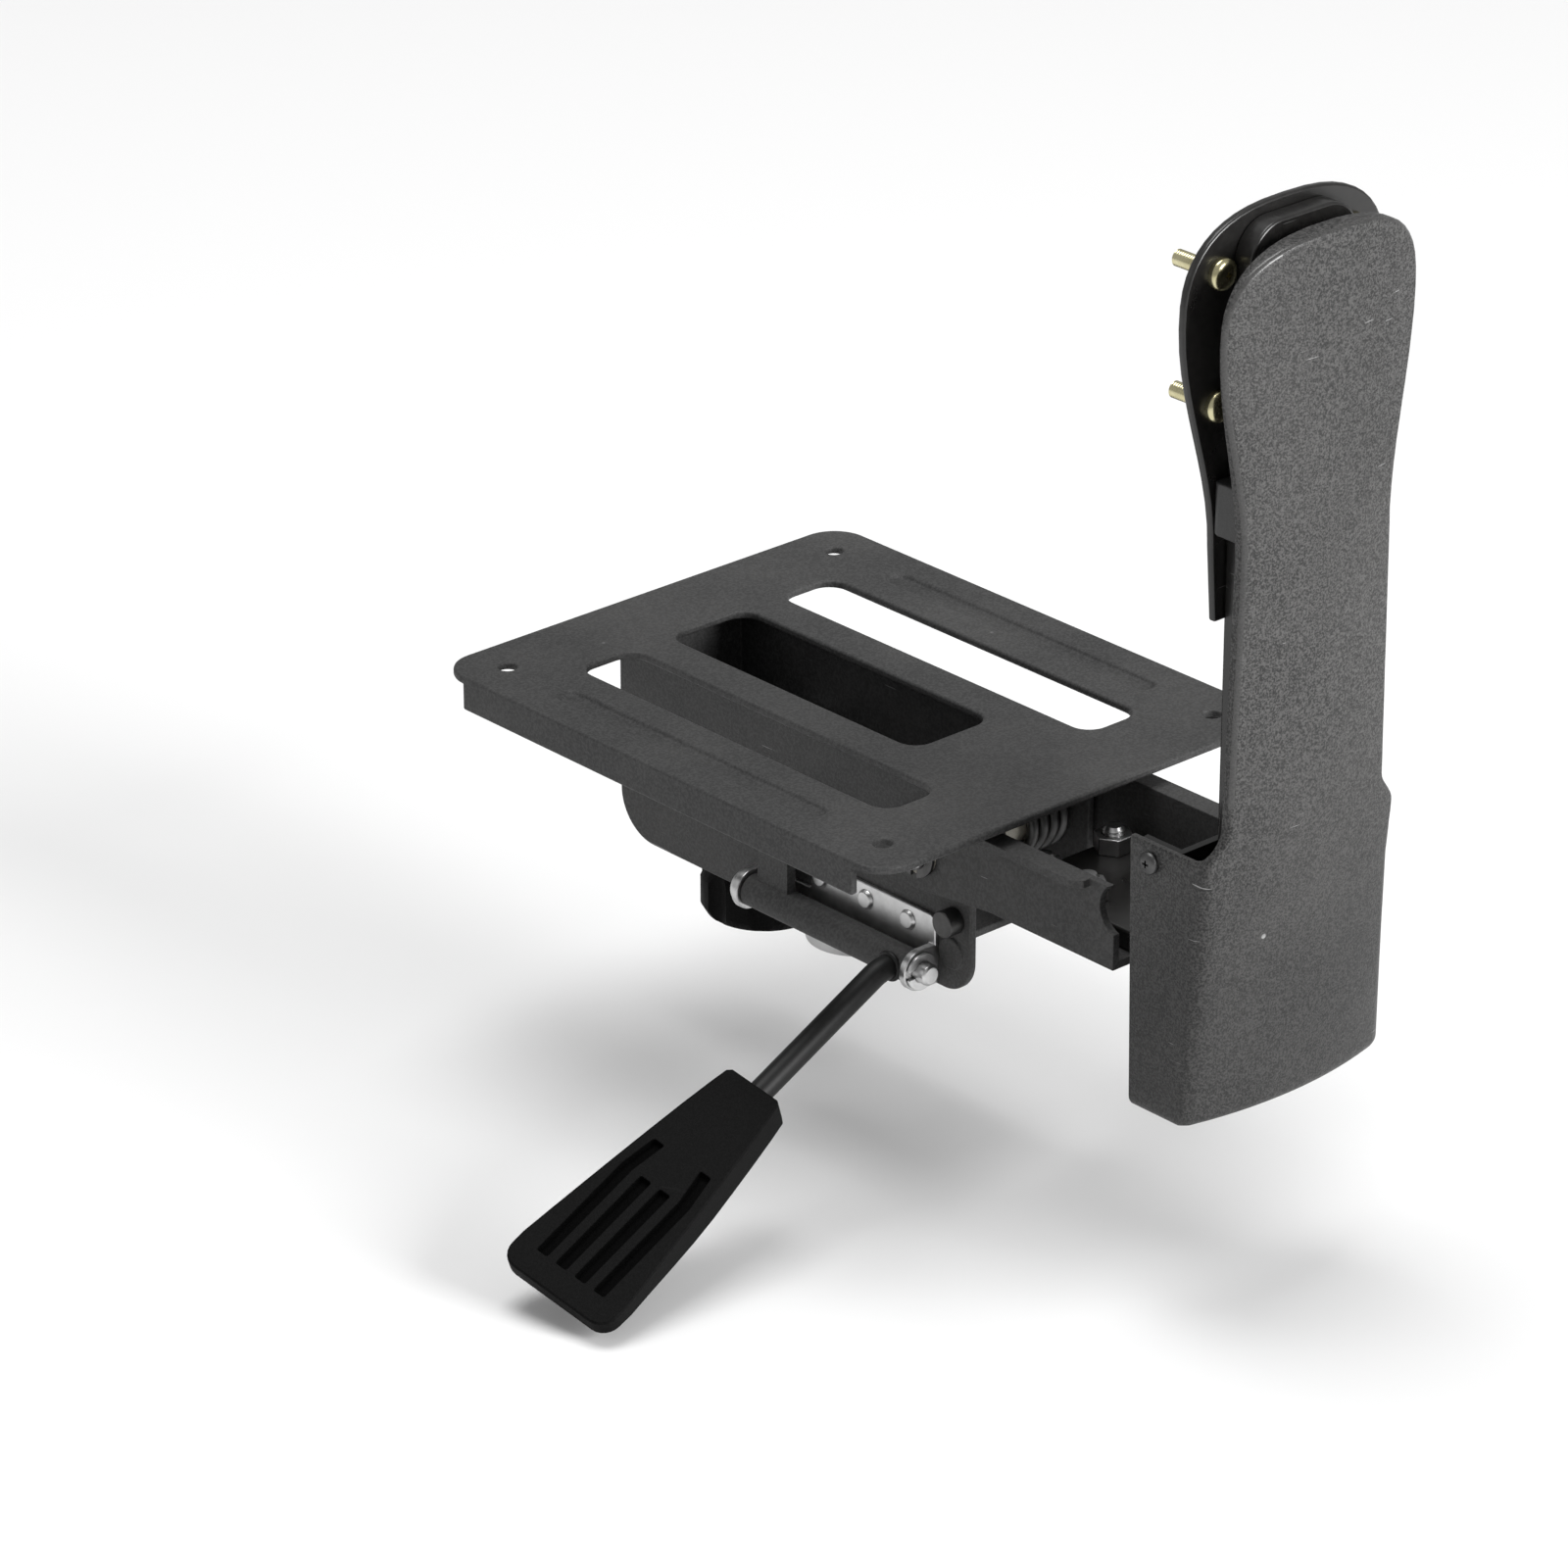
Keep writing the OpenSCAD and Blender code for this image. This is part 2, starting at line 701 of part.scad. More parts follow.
module paddle_plan() {
  corner = [paddle_l - paddle_corner_r, paddle_w1 / 2 - paddle_corner_r];
  upper = concat(
    [[0, paddle_w0 / 2 - paddle_neck_r], [paddle_neck_r, paddle_half(paddle_neck_r)]],
    [for (i = [1:8]) [paddle_flare * i / 8, paddle_half(paddle_flare * i / 8)]],
    arc(corner, paddle_corner_r, 90, 0)
  );
  polygon(concat(upper, [for (i = [len(upper) - 1:-1:0]) [upper[i][0], -upper[i][1]]]));
}

module paddle_side() {
  h = paddle_t / 2;
  polygon([
    [0, -h + 2], [2, -h], [rod_grip + 6, -h], [paddle_l - 6, -h + 3.5], [paddle_l, -h + 6],
    [paddle_l, h - 1.5], [paddle_l - 1.5, h], [1.5, h], [0, h - 1.5]
  ]);
}

// Grooves run along the paddle, the outer ones longer and bent with its outline
module paddle_groove(i) {
  y = (i - (grooves - 1) / 2) * groove_step;
  outer = i == 0 || i == grooves - 1;
  far = paddle_l - groove_inset;
  start = [far - groove_l, y];
  bent = outer ? [[far - groove_l - groove_bend, y * 0.82], start] : [start];
  slot(concat(bent, [[far, y]]), groove_w / 2);
}

module lever_paddle() {
  h = paddle_t / 2;
  color(black) translate([rod_bend_x, rod_y, pin_z]) lever_outer()
    translate([rod_reach, 0, 0]) rotate([-paddle_roll, 0, 0]) difference() {
      intersection() {
        translate([0, 0, -h]) linear_extrude(paddle_t) paddle_plan();
        rotate([90, 0, 0]) linear_extrude(2 * paddle_w1, center = true) paddle_side();
      }
      round_x(rod_r + run_gap, -1, rod_grip + 1);
      for (i = [0:grooves - 1]) translate([0, 0, h - groove_d]) linear_extrude(groove_d + 1) paddle_groove(i);
    }
}

module arm_side() {
  difference() {
    union() {
      translate([shaft_y, shaft_z]) circle(arm_boss_r);
      polygon([
        [shaft_y, shaft_z - arm_boss_r], [arm_floor_front, arm_z], [arm_rear, arm_z],
        [arm_rear, arm_top], [housing_rear - 2, arm_top], [shaft_y - 6, shaft_z + arm_boss_r - 1.5]
      ]);
    }
    translate([arm_rear + 3, arm_top - 8]) circle(10);
    translate([shaft_y, shaft_z]) circle(bush_r + run_gap);
  }
}

module back_arm() {
  flange_rear = arm_rear - 12;
  color(paint) difference() {
    union() {
      both_sides() between_x(arm_in, arm_out) arm_side();
      translate([-arm_out, arm_floor_front, arm_z]) cube([2 * arm_out, arm_rear - arm_floor_front, sheet_t]);
      both_sides() translate([0, 0, arm_top - sheet_t]) linear_extrude(sheet_t)
        polygon([
          [arm_in + 1, housing_rear + 2], [arm_out + arm_flange_w - 3, housing_rear + 2],
          [arm_out + arm_flange_w, housing_rear + 6], [arm_out + arm_flange_w, flange_rear - 4],
          [arm_out + arm_flange_w - 3, flange_rear], [arm_in + 1, flange_rear]
        ]);
    }
    for (x = [-arm_bolt_x, arm_bolt_x], y = arm_bolt_y)
      translate([x, y, arm_z - 1]) cylinder(r = arm_bolt_r + bolt_gap, h = sheet_t + 2);
  }
}

module arm_bushes() {
  color("#8d8a80") both_sides() translate([0, shaft_y, shaft_z]) difference() {
    union() {
      round_x(bush_flange_r, half_w + face_gap, arm_in);
      round_x(bush_r, half_w + face_gap, bush_end);
    }
    round_x(shaft_r + run_gap, 0, housing_w);
  }
}

// Side view of the flat bar: lower leg, bend and upright leg
module bar_side() {
  bend_y = upright_y - bend_r;
  bend_z = lower_leg_z + flat_t + bend_r;
  translate([lower_leg_front, lower_leg_z]) square([bend_y - lower_leg_front, flat_t]);
  translate([upright_y, bend_z]) square([flat_t, upright_top - bend_z]);
  translate([bend_y, bend_z]) intersection() {
    difference() {
      circle(bend_r + flat_t);
      circle(bend_r);
    }
    translate([0, -bend_r - flat_t]) square(bend_r + flat_t);
  }
}

module back_bar() {
  color(black) difference() {
    intersection() {
      along_x(bar_w) bar_side();
      between_y(0, 2 * upright_y) rounded([-bar_w / 2, 0], [bar_w / 2, upright_top], top_corner_r);
    }
    for (x = [-arm_bolt_x, arm_bolt_x], y = arm_bolt_y)
      translate([x, y, lower_leg_z - 1]) cylinder(r = arm_bolt_r + bolt_gap, h = flat_t + 2);
  }
}

module arm_bolts() {
  top = lower_leg_z + flat_t + arm_nut_h + 3;
  color(zinc) for (x = [-arm_bolt_x, arm_bolt_x], y = arm_bolt_y) translate([x, y, arm_z]) {
    cylinder(r = arm_bolt_r, h = top - arm_z);
    rotate_extrude() intersection() {
      translate([0, -arm_bolt_head_h]) square([arm_bolt_head_r, arm_bolt_head_h]);
      translate([0, arm_bolt_head_r - arm_bolt_head_h + 1]) circle(arm_bolt_head_r + 1);
    }
  }
}

module arm_nuts() {
  color(zinc) for (x = [-arm_bolt_x, arm_bolt_x], y = arm_bolt_y)
    translate([x, y, lower_leg_z + flat_t]) difference() {
      cylinder(r = arm_bolt_r * 1.85, h = arm_nut_h, $fn = 6);
      translate([0, 0, -1]) cylinder(r = arm_bolt_r + run_gap, h = arm_nut_h + 2);
    }
}

module at_screws() {
  for (x = [-screw_x / 2, screw_x / 2], z = [screw_low_z, screw_low_z + screw_z]) translate([x, z]) children();
}

module back_plate() {
  side = spoon_side(
    plate_bottom, plate_low_half, plate_waist_z, plate_waist_half, plate_shoulder_z, plate_half, plate_top
  );
  color(black) between_y(plate_y, upright_y) difference() {
    polygon(mirror_outline(side));
    at_screws() circle(screw_r + 0.2);
  }
}

module back_screws() {
  color("#b8b08a") {
    between_y(plate_y - screw_reach, plate_y - screw_relief) at_screws() circle(screw_r);
    between_y(plate_y - screw_relief - 0.1, upright_y + 0.1) at_screws() circle(screw_neck_r);
    for (x = [-screw_x / 2, screw_x / 2], z = [screw_low_z, screw_low_z + screw_z])
      translate([x, upright_y, z]) rotate([-90, 0, 0]) rotate_extrude() polygon([
        [0, 0], [screw_head_r, 0], [screw_head_r, 1.4], [screw_head_r * 0.86, screw_head_h * 0.75],
        [screw_head_r * 0.55, screw_head_h], [0, screw_head_h]
      ]);
  }
}

// Front view of the cover above its box, drawn in by the wall
module tray_outline(inset) {
  flare = [
    [box_half - 3 - inset, box_top - 2], [upper_half + 3 - inset, box_top + flare_h / 3]
  ];
  side = spoon_side(
    box_top + flare_h, upper_half - inset, neck_z, neck_half - inset, shoulder_z, head_half - inset,
    cover_top - inset
  );
  polygon(mirror_outline(concat(flare, side)));
}

// Crowned block whose rear face is a part of a wide cylinder
module crown_block(inset, z0, z1) {
  translate([0, crown_y, z0]) cylinder(r = crown_r - inset, h = z1 - z0, $fn = 96);
}

// Plan that rounds the edge between the right wall and the crown; it stands a hair proud of both
module corner_plan(inset) {
  proud = 0.3;
  x = box_half + proud - corner_r;
  y = crown_y + sqrt(pow(crown_r - corner_r, 2) - pow(x - proud, 2)) + proud;
  translate([-2 * x, 0]) square([3 * x + corner_r - inset, y]);
  translate([-2 * x, 0]) square([3 * x, y + 2 * corner_r]);
  translate([x, y]) circle(corner_r - inset);
}

module corner_block(inset) {
  translate([box_half, 0, box_top]) rotate([0, -wall_lean, 0]) translate([-box_half, 0, -2 * box_top])
    linear_extrude(4 * box_top) corner_plan(inset);
}

module box_outline(inset, top) {
  r = foot_corner_r - inset;
  half0 = foot_half - inset;
  half1 = box_half - inset;
  low = cover_bottom + inset;
  intersection() {
    polygon([[-half0, low], [half0, low], [half1, box_top], [half1, top], [-half1, top], [-half1, box_top]]);
    rounded([-half0, low], [half0, top + 2 * r], r);
  }
}

module box_side(inset, front, top) {
  rear = cover_rear + 2 * crown;
  low = cover_bottom + inset;
  polygon([[front + front_lean, low], [rear, low], [rear, top], [front, top]]);
}

module box_block(inset, front, top) {
  intersection() {
    between_y(0, 2 * cover_rear) box_outline(inset, top);
    along_x(3 * foot_half) box_side(inset, front, top);
    translate([0, cover_rear, box_top]) rotate([-box_lean, 0, 0]) translate([0, box_proud - cover_rear, -box_top])
      intersection() {
        crown_block(inset, -box_top, 2 * box_top);
        corner_block(inset);
        mirror([1, 0, 0]) corner_block(inset);
      }
  }
}

module back_cover() {
  color(charcoal) difference() {
    union() {
      difference() {
        box_block(0, box_front, box_top);
        box_block(cover_t, box_front - front_past, box_top + 5);
      }
      difference() {
        intersection() {
          between_y(tray_front, 2 * cover_rear) tray_outline(0);
          crown_block(0, 0, 2 * cover_top);
        }
        intersection() {
          between_y(tray_front - 5, 2 * cover_rear) tray_outline(cover_t);
          crown_block(cover_t, 0, 2 * cover_top);
        }
      }
    }
    translate([0, cover_screw_y, strap_z]) round_x(cover_screw_r + run_gap, -2 * foot_half, 2 * foot_half);
  }
}

// Inside half width of the lower box at the height of the strap
box_inner = box_half - cover_t + (foot_half - box_half) * (box_top - strap_z - strap_h / 2)
  / (box_top - cover_bottom);
strap_half = box_inner - face_gap;

module cover_strap() {
  z0 = strap_z - strap_h / 2;
  color(paint) difference() {
    translate([0, 0, z0]) linear_extrude(strap_h) difference() {
      rounded([-strap_half, box_front + 2], [strap_half, upright_y], 2);
      translate([-strap_half + sheet_t, 0]) square([2 * (strap_half - sheet_t), upright_y - sheet_t]);
    }
    translate([0, cover_screw_y, strap_z]) round_x(cover_screw_r + run_gap, -2 * foot_half, 2 * foot_half);
  }
}

module cover_clips() {
  y1 = tray_front;
  color(black) both_sides() translate([0, 0, clip_z]) linear_extrude(clip_h) polygon([
    [bar_w / 2 + 0.1, upright_y + 1], [clip_out - 2, upright_y + 1], [clip_out - 1, upright_y + 3],
    [clip_out - 1, y1], [bar_w / 2 - 5, y1], [bar_w / 2 - 5, upright_rear + 0.1],
    [bar_w / 2 + 0.1, upright_rear + 0.1]
  ]);
}

// Outside half width of the lower box at the height of the cover screws
screw_wall = box_half + (foot_half - box_half) * (box_top - strap_z) / (box_top - cover_bottom);

module cover_screws() {
  inner = strap_half - sheet_t - 3;
  seat = screw_wall + cover_screw_head_r * (foot_half - box_half) / (box_top - cover_bottom);
  color(zinc) both_sides() translate([0, cover_screw_y, strap_z]) rotate([0, 90, 0]) rotate_extrude()
    polygon([
      [0, inner], [cover_screw_r, inner], [cover_screw_r, seat], [cover_screw_head_r, seat],
      [cover_screw_head_r - 0.8, seat + 1.6], [0, seat + 2]
    ]);
}

housing();
gas_socket();
seat_plate();
main_shaft();
shaft_rings();
spring_sleeve();
spring_left();
spring_right();
lever_bracket();
lever_pin();
pin_clip();
bracket_rivets();
stop_pads();
recline_stops();
thrust_washer();
tension_knob();
knob_insert();
tension_bar();
tension_bolt();
lever_tube();
lever_rod();
lever_paddle();
back_arm();
arm_bushes();
back_bar();
arm_bolts();
arm_nuts();
back_plate();
back_screws();
back_cover();
cover_strap();
cover_clips();
cover_screws();
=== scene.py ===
import json
from math import cos, pi, radians, sin

import bmesh
import bpy
from mathutils import Matrix, Vector


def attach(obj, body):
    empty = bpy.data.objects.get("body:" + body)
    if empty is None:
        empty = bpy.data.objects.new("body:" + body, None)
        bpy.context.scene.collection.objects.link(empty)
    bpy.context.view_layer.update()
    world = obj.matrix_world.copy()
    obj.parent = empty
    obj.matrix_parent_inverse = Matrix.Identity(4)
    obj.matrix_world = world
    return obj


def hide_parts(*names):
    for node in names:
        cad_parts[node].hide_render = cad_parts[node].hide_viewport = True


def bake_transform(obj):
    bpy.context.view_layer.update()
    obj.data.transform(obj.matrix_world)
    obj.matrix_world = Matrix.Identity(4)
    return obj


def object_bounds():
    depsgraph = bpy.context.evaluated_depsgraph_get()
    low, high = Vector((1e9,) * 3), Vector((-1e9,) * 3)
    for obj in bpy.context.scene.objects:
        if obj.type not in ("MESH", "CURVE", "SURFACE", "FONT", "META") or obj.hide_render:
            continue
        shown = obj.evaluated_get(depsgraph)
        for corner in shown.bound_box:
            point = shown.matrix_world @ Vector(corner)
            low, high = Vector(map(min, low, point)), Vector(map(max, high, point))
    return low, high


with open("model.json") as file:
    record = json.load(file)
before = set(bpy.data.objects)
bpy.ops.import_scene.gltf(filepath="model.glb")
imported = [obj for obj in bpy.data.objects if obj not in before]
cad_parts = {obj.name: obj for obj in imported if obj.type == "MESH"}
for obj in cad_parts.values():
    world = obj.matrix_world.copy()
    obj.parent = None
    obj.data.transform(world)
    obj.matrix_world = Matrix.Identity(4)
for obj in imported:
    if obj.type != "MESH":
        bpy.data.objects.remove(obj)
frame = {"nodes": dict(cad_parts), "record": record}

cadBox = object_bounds()
nodes = frame["nodes"]
bodyOf = {node: body for body, names in frame["record"]["behaviour"]["bodies"].items() for node in names}
slotOf = {row["node"]: row["material_slot"] for row in frame["record"]["subparts"]}
mm = 0.001
print("frame loaded,", len(nodes), "steel and plastic pieces")


def useOnly(piece):  # object mode, this piece alone picked and active
    if bpy.context.mode != "OBJECT":
        bpy.ops.object.mode_set(mode="OBJECT")
    bpy.ops.object.select_all(action="DESELECT")
    piece.select_set(True)
    bpy.context.view_layer.objects.active = piece


def openMesh(piece):  # edit mode with nothing picked
    useOnly(piece)
    bpy.ops.object.mode_set(mode="EDIT")
    bpy.ops.mesh.select_all(action="DESELECT")


def closeMesh():
    bpy.ops.object.mode_set(mode="OBJECT")


def clearPick(kind):
    bpy.ops.mesh.select_mode(type=kind)
    bpy.ops.mesh.select_all(action="DESELECT")
    return bmesh.from_edit_mesh(bpy.context.object.data)


def showPick(mesh):
    mesh.select_flush_mode()
    bmesh.update_edit_mesh(bpy.context.object.data)


def pickVerts(test):  # test gets a point
    mesh = clearPick("VERT")
    for vert in mesh.verts:
        if not vert.hide and test(vert.co):
            vert.select_set(True)
    showPick(mesh)


def pickEdges(test):  # test gets both ends
    mesh = clearPick("EDGE")
    for edge in mesh.edges:
        if not edge.hide and test(edge.verts[0].co, edge.verts[1].co):
            edge.select_set(True)
    showPick(mesh)


def pickFaces(test):  # test gets the middle and the normal
    mesh = clearPick("FACE")
    for face in mesh.faces:
        if not face.hide and test(face.calc_center_median(), face.normal):
            face.select_set(True)
    showPick(mesh)


def tidyMesh(reach):  # merges points nearer than reach, in mm
    bpy.ops.mesh.select_mode(type="VERT")
    bpy.ops.mesh.select_all(action="SELECT")
    bpy.ops.mesh.remove_doubles(threshold=reach * mm)


def modify(piece, kind, **settings):
    useOnly(piece)
    modifier = piece.modifiers.new(kind.lower(), kind)
    for name, value in settings.items():
        setattr(modifier, name, value)
    bpy.ops.object.modifier_apply(modifier=modifier.name)


def carve(piece, cutter, operation="DIFFERENCE"):  # cutter goes away afterwards
    modify(piece, "BOOLEAN", operation=operation, object=cutter, solver="EXACT")
    bpy.data.objects.remove(cutter)


def smooth(piece, angle=32):
    useOnly(piece)
    bpy.ops.object.shade_smooth_by_angle(angle=radians(angle))


def evenShade(piece):  # large flat faces stay flat beside their soft edges
    modify(piece, "WEIGHTED_NORMAL", keep_sharp=True)


def settle(piece, name):  # place goes into the mesh
    useOnly(piece)
    bpy.ops.object.transform_apply(location=True, rotation=True, scale=True)
    piece.name = name
    piece.data.name = name
    return piece


def joined(pieces, name):
    useOnly(pieces[0])
    for piece in pieces:
        piece.select_set(True)
    bpy.ops.object.join()
    return settle(bpy.context.object, name)


def copyTo(piece, offset):
    copied = bpy.data.objects.new(piece.name, piece.data.copy())
    bpy.context.scene.collection.objects.link(copied)
    copied.location = offset
    return copied


def addBlock(low, high):
    bpy.ops.object.select_all(action="DESELECT")
    middle = [(a + b) / 2 for a, b in zip(low, high)]
    bpy.ops.mesh.primitive_cube_add(size=1, location=middle)
    block = bpy.context.object
    block.scale = [b - a for a, b in zip(low, high)]
    return settle(block, "block")


def stand(piece, node, material=None):  # piece takes a node's place and body, and the given material if any
    if material:
        piece.data.materials.clear()
        piece.data.materials.append(material)
    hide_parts(node)
    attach(piece, bodyOf[node])
    return piece


# shader groups

class Tree:  # short way to place nodes and join them
    def __init__(self, tree):
        self.tree = tree

    def add(self, kind, values=(), **settings):
        node = self.tree.nodes.new(kind)
        for name, value in settings.items():
            setattr(node, name, value)
        for socket, value in dict(values).items():
            if isinstance(value, bpy.types.NodeSocket):
                self.tree.links.new(value, node.inputs[socket])
            else:
                node.inputs[socket].default_value = value
        return node

    def math(self, operation, a, b=0.0, clamp=False):
        return self.add("ShaderNodeMath", {0: a, 1: b}, operation=operation, use_clamp=clamp).outputs[0]

    def noise(self, vector, scale, detail=2.0, rough=0.5):
        values = {"Vector": vector, "Scale": scale, "Detail": detail, "Roughness": rough}
        return self.add("ShaderNodeTexNoise", values).outputs["Fac"]

    def steps(self, value, low, high):  # 0 below low, 1 above high
        values = {"Value": value, "From Min": low, "From Max": high}
        return self.add("ShaderNodeMapRange", values, clamp=True).outputs["Result"]

    def mix(self, factor, a, b):
        node = self.add("ShaderNodeMix", data_type="RGBA")
        for socket, value in ((0, factor), (6, a), (7, b)):
            if isinstance(value, bpy.types.NodeSocket):
                self.tree.links.new(value, node.inputs[socket])
            else:
                node.inputs[socket].default_value = value
        return node.outputs[2]

    def stretch(self, vector, scale, turn=(0, 0, 0)):
        return self.add("ShaderNodeMapping", {"Vector": vector, "Scale": scale, "Rotation": turn}).outputs[0]

    def join(self, a, b):
        self.tree.links.new(a, b)


def newGroup(name, inputs, outputs):
    group = bpy.data.node_groups.new(name, "ShaderNodeTree")
    for label, kind, value in inputs:
        socket = group.interface.new_socket(label, in_out="INPUT", socket_type="NodeSocket" + kind)
        if value is not None:
            socket.default_value = value
    for label, kind in outputs:
        group.interface.new_socket(label, in_out="OUTPUT", socket_type="NodeSocket" + kind)
    tree = Tree(group)
    return group, tree, tree.add("NodeGroupInput"), tree.add("NodeGroupOutput")


def makeGrainGroup():  # sand texture of moulded plastic and powder paint
    group, tree, given, out = newGroup(
        "moulded grain",
        [("Vector", "Vector", None), ("Grains per m", "Float", 1700.0)],
        [("Speck", "Float"), ("Height", "Float")],
    )
    fine = tree.noise(given.outputs["Vector"], given.outputs["Grains per m"], 2.0, 0.7)
    wider = tree.math("MULTIPLY", given.outputs["Grains per m"], 0.4)
    coarse = tree.noise(given.outputs["Vector"], wider, 1.0, 0.5)
    both = tree.math("ADD", tree.math("MULTIPLY", fine, 0.82), tree.math("MULTIPLY", coarse, 0.18))
    tree.join(tree.steps(both, 0.43, 0.585), out.inputs["Speck"])
    tree.join(both, out.inputs["Height"])
    return group


def makeScuffGroup():  # sparse nicks and thin scratches from use
    group, tree, given, out = newGroup(
        "scuffs",
        [("Vector", "Vector", None), ("Nicks per m", "Float", 70.0), ("Amount", "Float", 0.5)],
        [("Mask", "Float")],
    )
    place = given.outputs["Vector"]
    cells = tree.add("ShaderNodeTexVoronoi", {"Vector": place, "Scale": given.outputs["Nicks per m"]})
    nick = tree.steps(cells.outputs["Distance"], 0.06, 0.04)
    rare = tree.steps(tree.noise(place, 26.0, 1.0), 0.57, 0.6)
    lines = tree.noise(tree.stretch(place, (55, 55, 900), (0.5, 0.9, 0.4)), 1.0, 1.0, 0.4)
    few = tree.steps(tree.noise(place, 31.0, 1.0), 0.52, 0.58)
    scratch = tree.math("MULTIPLY", tree.steps(lines, 0.77, 0.785), few)
    both = tree.math("MAXIMUM", tree.math("MULTIPLY", nick, rare), scratch)
    tree.join(tree.math("MULTIPLY", both, given.outputs["Amount"], True), out.inputs["Mask"])
    return group


def makeDustGroup():  # broad uneven film, more of it on some places
    group, tree, given, out = newGroup(
        "dust film",
        [("Vector", "Vector", None), ("Amount", "Float", 0.3)],
        [("Mask", "Float")],
    )
    wide = tree.noise(given.outputs["Vector"], 14.0, 4.0, 0.6)
    tight = tree.noise(given.outputs["Vector"], 160.0, 3.0, 0.6)
    film = tree.math("MULTIPLY", tree.steps(wide, 0.4, 0.75), tree.math("ADD", 0.5, tight))
    tree.join(tree.math("MULTIPLY", film, given.outputs["Amount"], True), out.inputs["Mask"])
    return group


def makeLinesGroup():  # fine lines of drawn, turned or plated steel
    group, tree, given, out = newGroup(
        "drawn lines",
        [("Vector", "Vector", None), ("Lines per m", "Float", 2500.0)],
        [("Line", "Float"), ("Blotch", "Float")],
    )
    along = tree.stretch(given.outputs["Vector"], (1, 1, 0.04))
    across = tree.stretch(given.outputs["Vector"], (0.04, 1, 1))
    first = tree.noise(along, given.outputs["Lines per m"], 2.0, 0.6)
    second = tree.noise(across, given.outputs["Lines per m"], 2.0, 0.6)
    tree.join(tree.math("MULTIPLY", tree.math("ADD", first, second), 0.5), out.inputs["Line"])
    tree.join(tree.noise(given.outputs["Vector"], 95.0, 4.0, 0.6), out.inputs["Blotch"])
    return group


grainGroup = makeGrainGroup()
scuffGroup = makeScuffGroup()
dustGroup = makeDustGroup()
linesGroup = makeLinesGroup()
print("shader groups ready")


# finishes

def newFinish(name):
    material = bpy.data.materials.new(name)
    material.use_nodes = True
    tree = Tree(material.node_tree)
    shader = material.node_tree.nodes["Principled BSDF"]
    place = tree.add("ShaderNodeTexCoord").outputs["Object"]
    return material, tree, shader, place


def useGroup(tree, group, **values):
    node = tree.add("ShaderNodeGroup", node_tree=group)
    for label, value in values.items():
        socket = node.inputs[label.replace("_", " ")]
        if isinstance(value, bpy.types.NodeSocket):
            tree.join(value, socket)
        else:
            socket.default_value = value
    return node


def grey(value, warm=0.0):
    return (value * (1 + warm), value, value * (1 - warm), 1)


def mouldedFinish(name, look):  # textured plastic and powder coated steel
    material, tree, shader, place = newFinish(name)
    grain = useGroup(tree, grainGroup, Vector=place, Grains_per_m=look["grains"])
    scuffs = useGroup(tree, scuffGroup, Vector=place, Nicks_per_m=look["nicks"], Amount=look["scuffs"])
    dust = useGroup(tree, dustGroup, Vector=place, Amount=look["dust"])
    colour = tree.mix(grain.outputs["Speck"], look["dark"], look["light"])
    if look["soil"]:  # painted shade: colour darker low down
        height = tree.add("ShaderNodeSeparateXYZ", {"Vector": place}).outputs["Z"]
        paintedShadeMask = tree.math("MULTIPLY", tree.steps(height, look["paintedShadeTop"], look["paintedShadeFull"]), look["soil"])
        colour = tree.mix(paintedShadeMask, colour, grey(0))
    colour = tree.mix(dust.outputs["Mask"], colour, look["dustColour"])
    colour = tree.mix(scuffs.outputs["Mask"], colour, look["bare"])
    tree.join(colour, shader.inputs["Base Color"])
    rough = tree.math("ADD", look["rough"], tree.math("MULTIPLY", dust.outputs["Mask"], 0.35))
    tree.join(rough, shader.inputs["Roughness"])
    values = {"Height": grain.outputs["Height"], "Strength": look["bump"], "Distance": 0.4 * mm}
    bump = tree.add("ShaderNodeBump", values)
    tree.join(bump.outputs["Normal"], shader.inputs["Normal"])
    shader.inputs["Specular IOR Level"].default_value = look["gloss"]
    return material


def metalFinish(name, look):  # bare, plated and blackened steel
    material, tree, shader, place = newFinish(name)
    lines = useGroup(tree, linesGroup, Vector=place, Lines_per_m=look["lines"])
    scuffs = useGroup(tree, scuffGroup, Vector=place, Nicks_per_m=140.0, Amount=look["scuffs"])
    dust = useGroup(tree, dustGroup, Vector=place, Amount=look["dust"])
    colour = tree.mix(tree.steps(lines.outputs["Blotch"], 0.3, 0.7), look["dark"], look["light"])
    colour = tree.mix(dust.outputs["Mask"], colour, look["dustColour"])
    colour = tree.mix(scuffs.outputs["Mask"], colour, look["bare"])
    tree.join(colour, shader.inputs["Base Color"])
    streak = tree.math("MULTIPLY", lines.outputs["Line"], look["streak"])
    film = tree.math("MULTIPLY", dust.outputs["Mask"], 0.4)
    tree.join(tree.math("ADD", tree.math("ADD", look["rough"], streak), film), shader.inputs["Roughness"])
    values = {"Height": lines.outputs["Line"], "Strength": look["bump"], "Distance": 0.2 * mm}
    bump = tree.add("ShaderNodeBump", values)
    tree.join(bump.outputs["Normal"], shader.inputs["Normal"])
    shader.inputs["Metallic"].default_value = look["metal"]
    return material


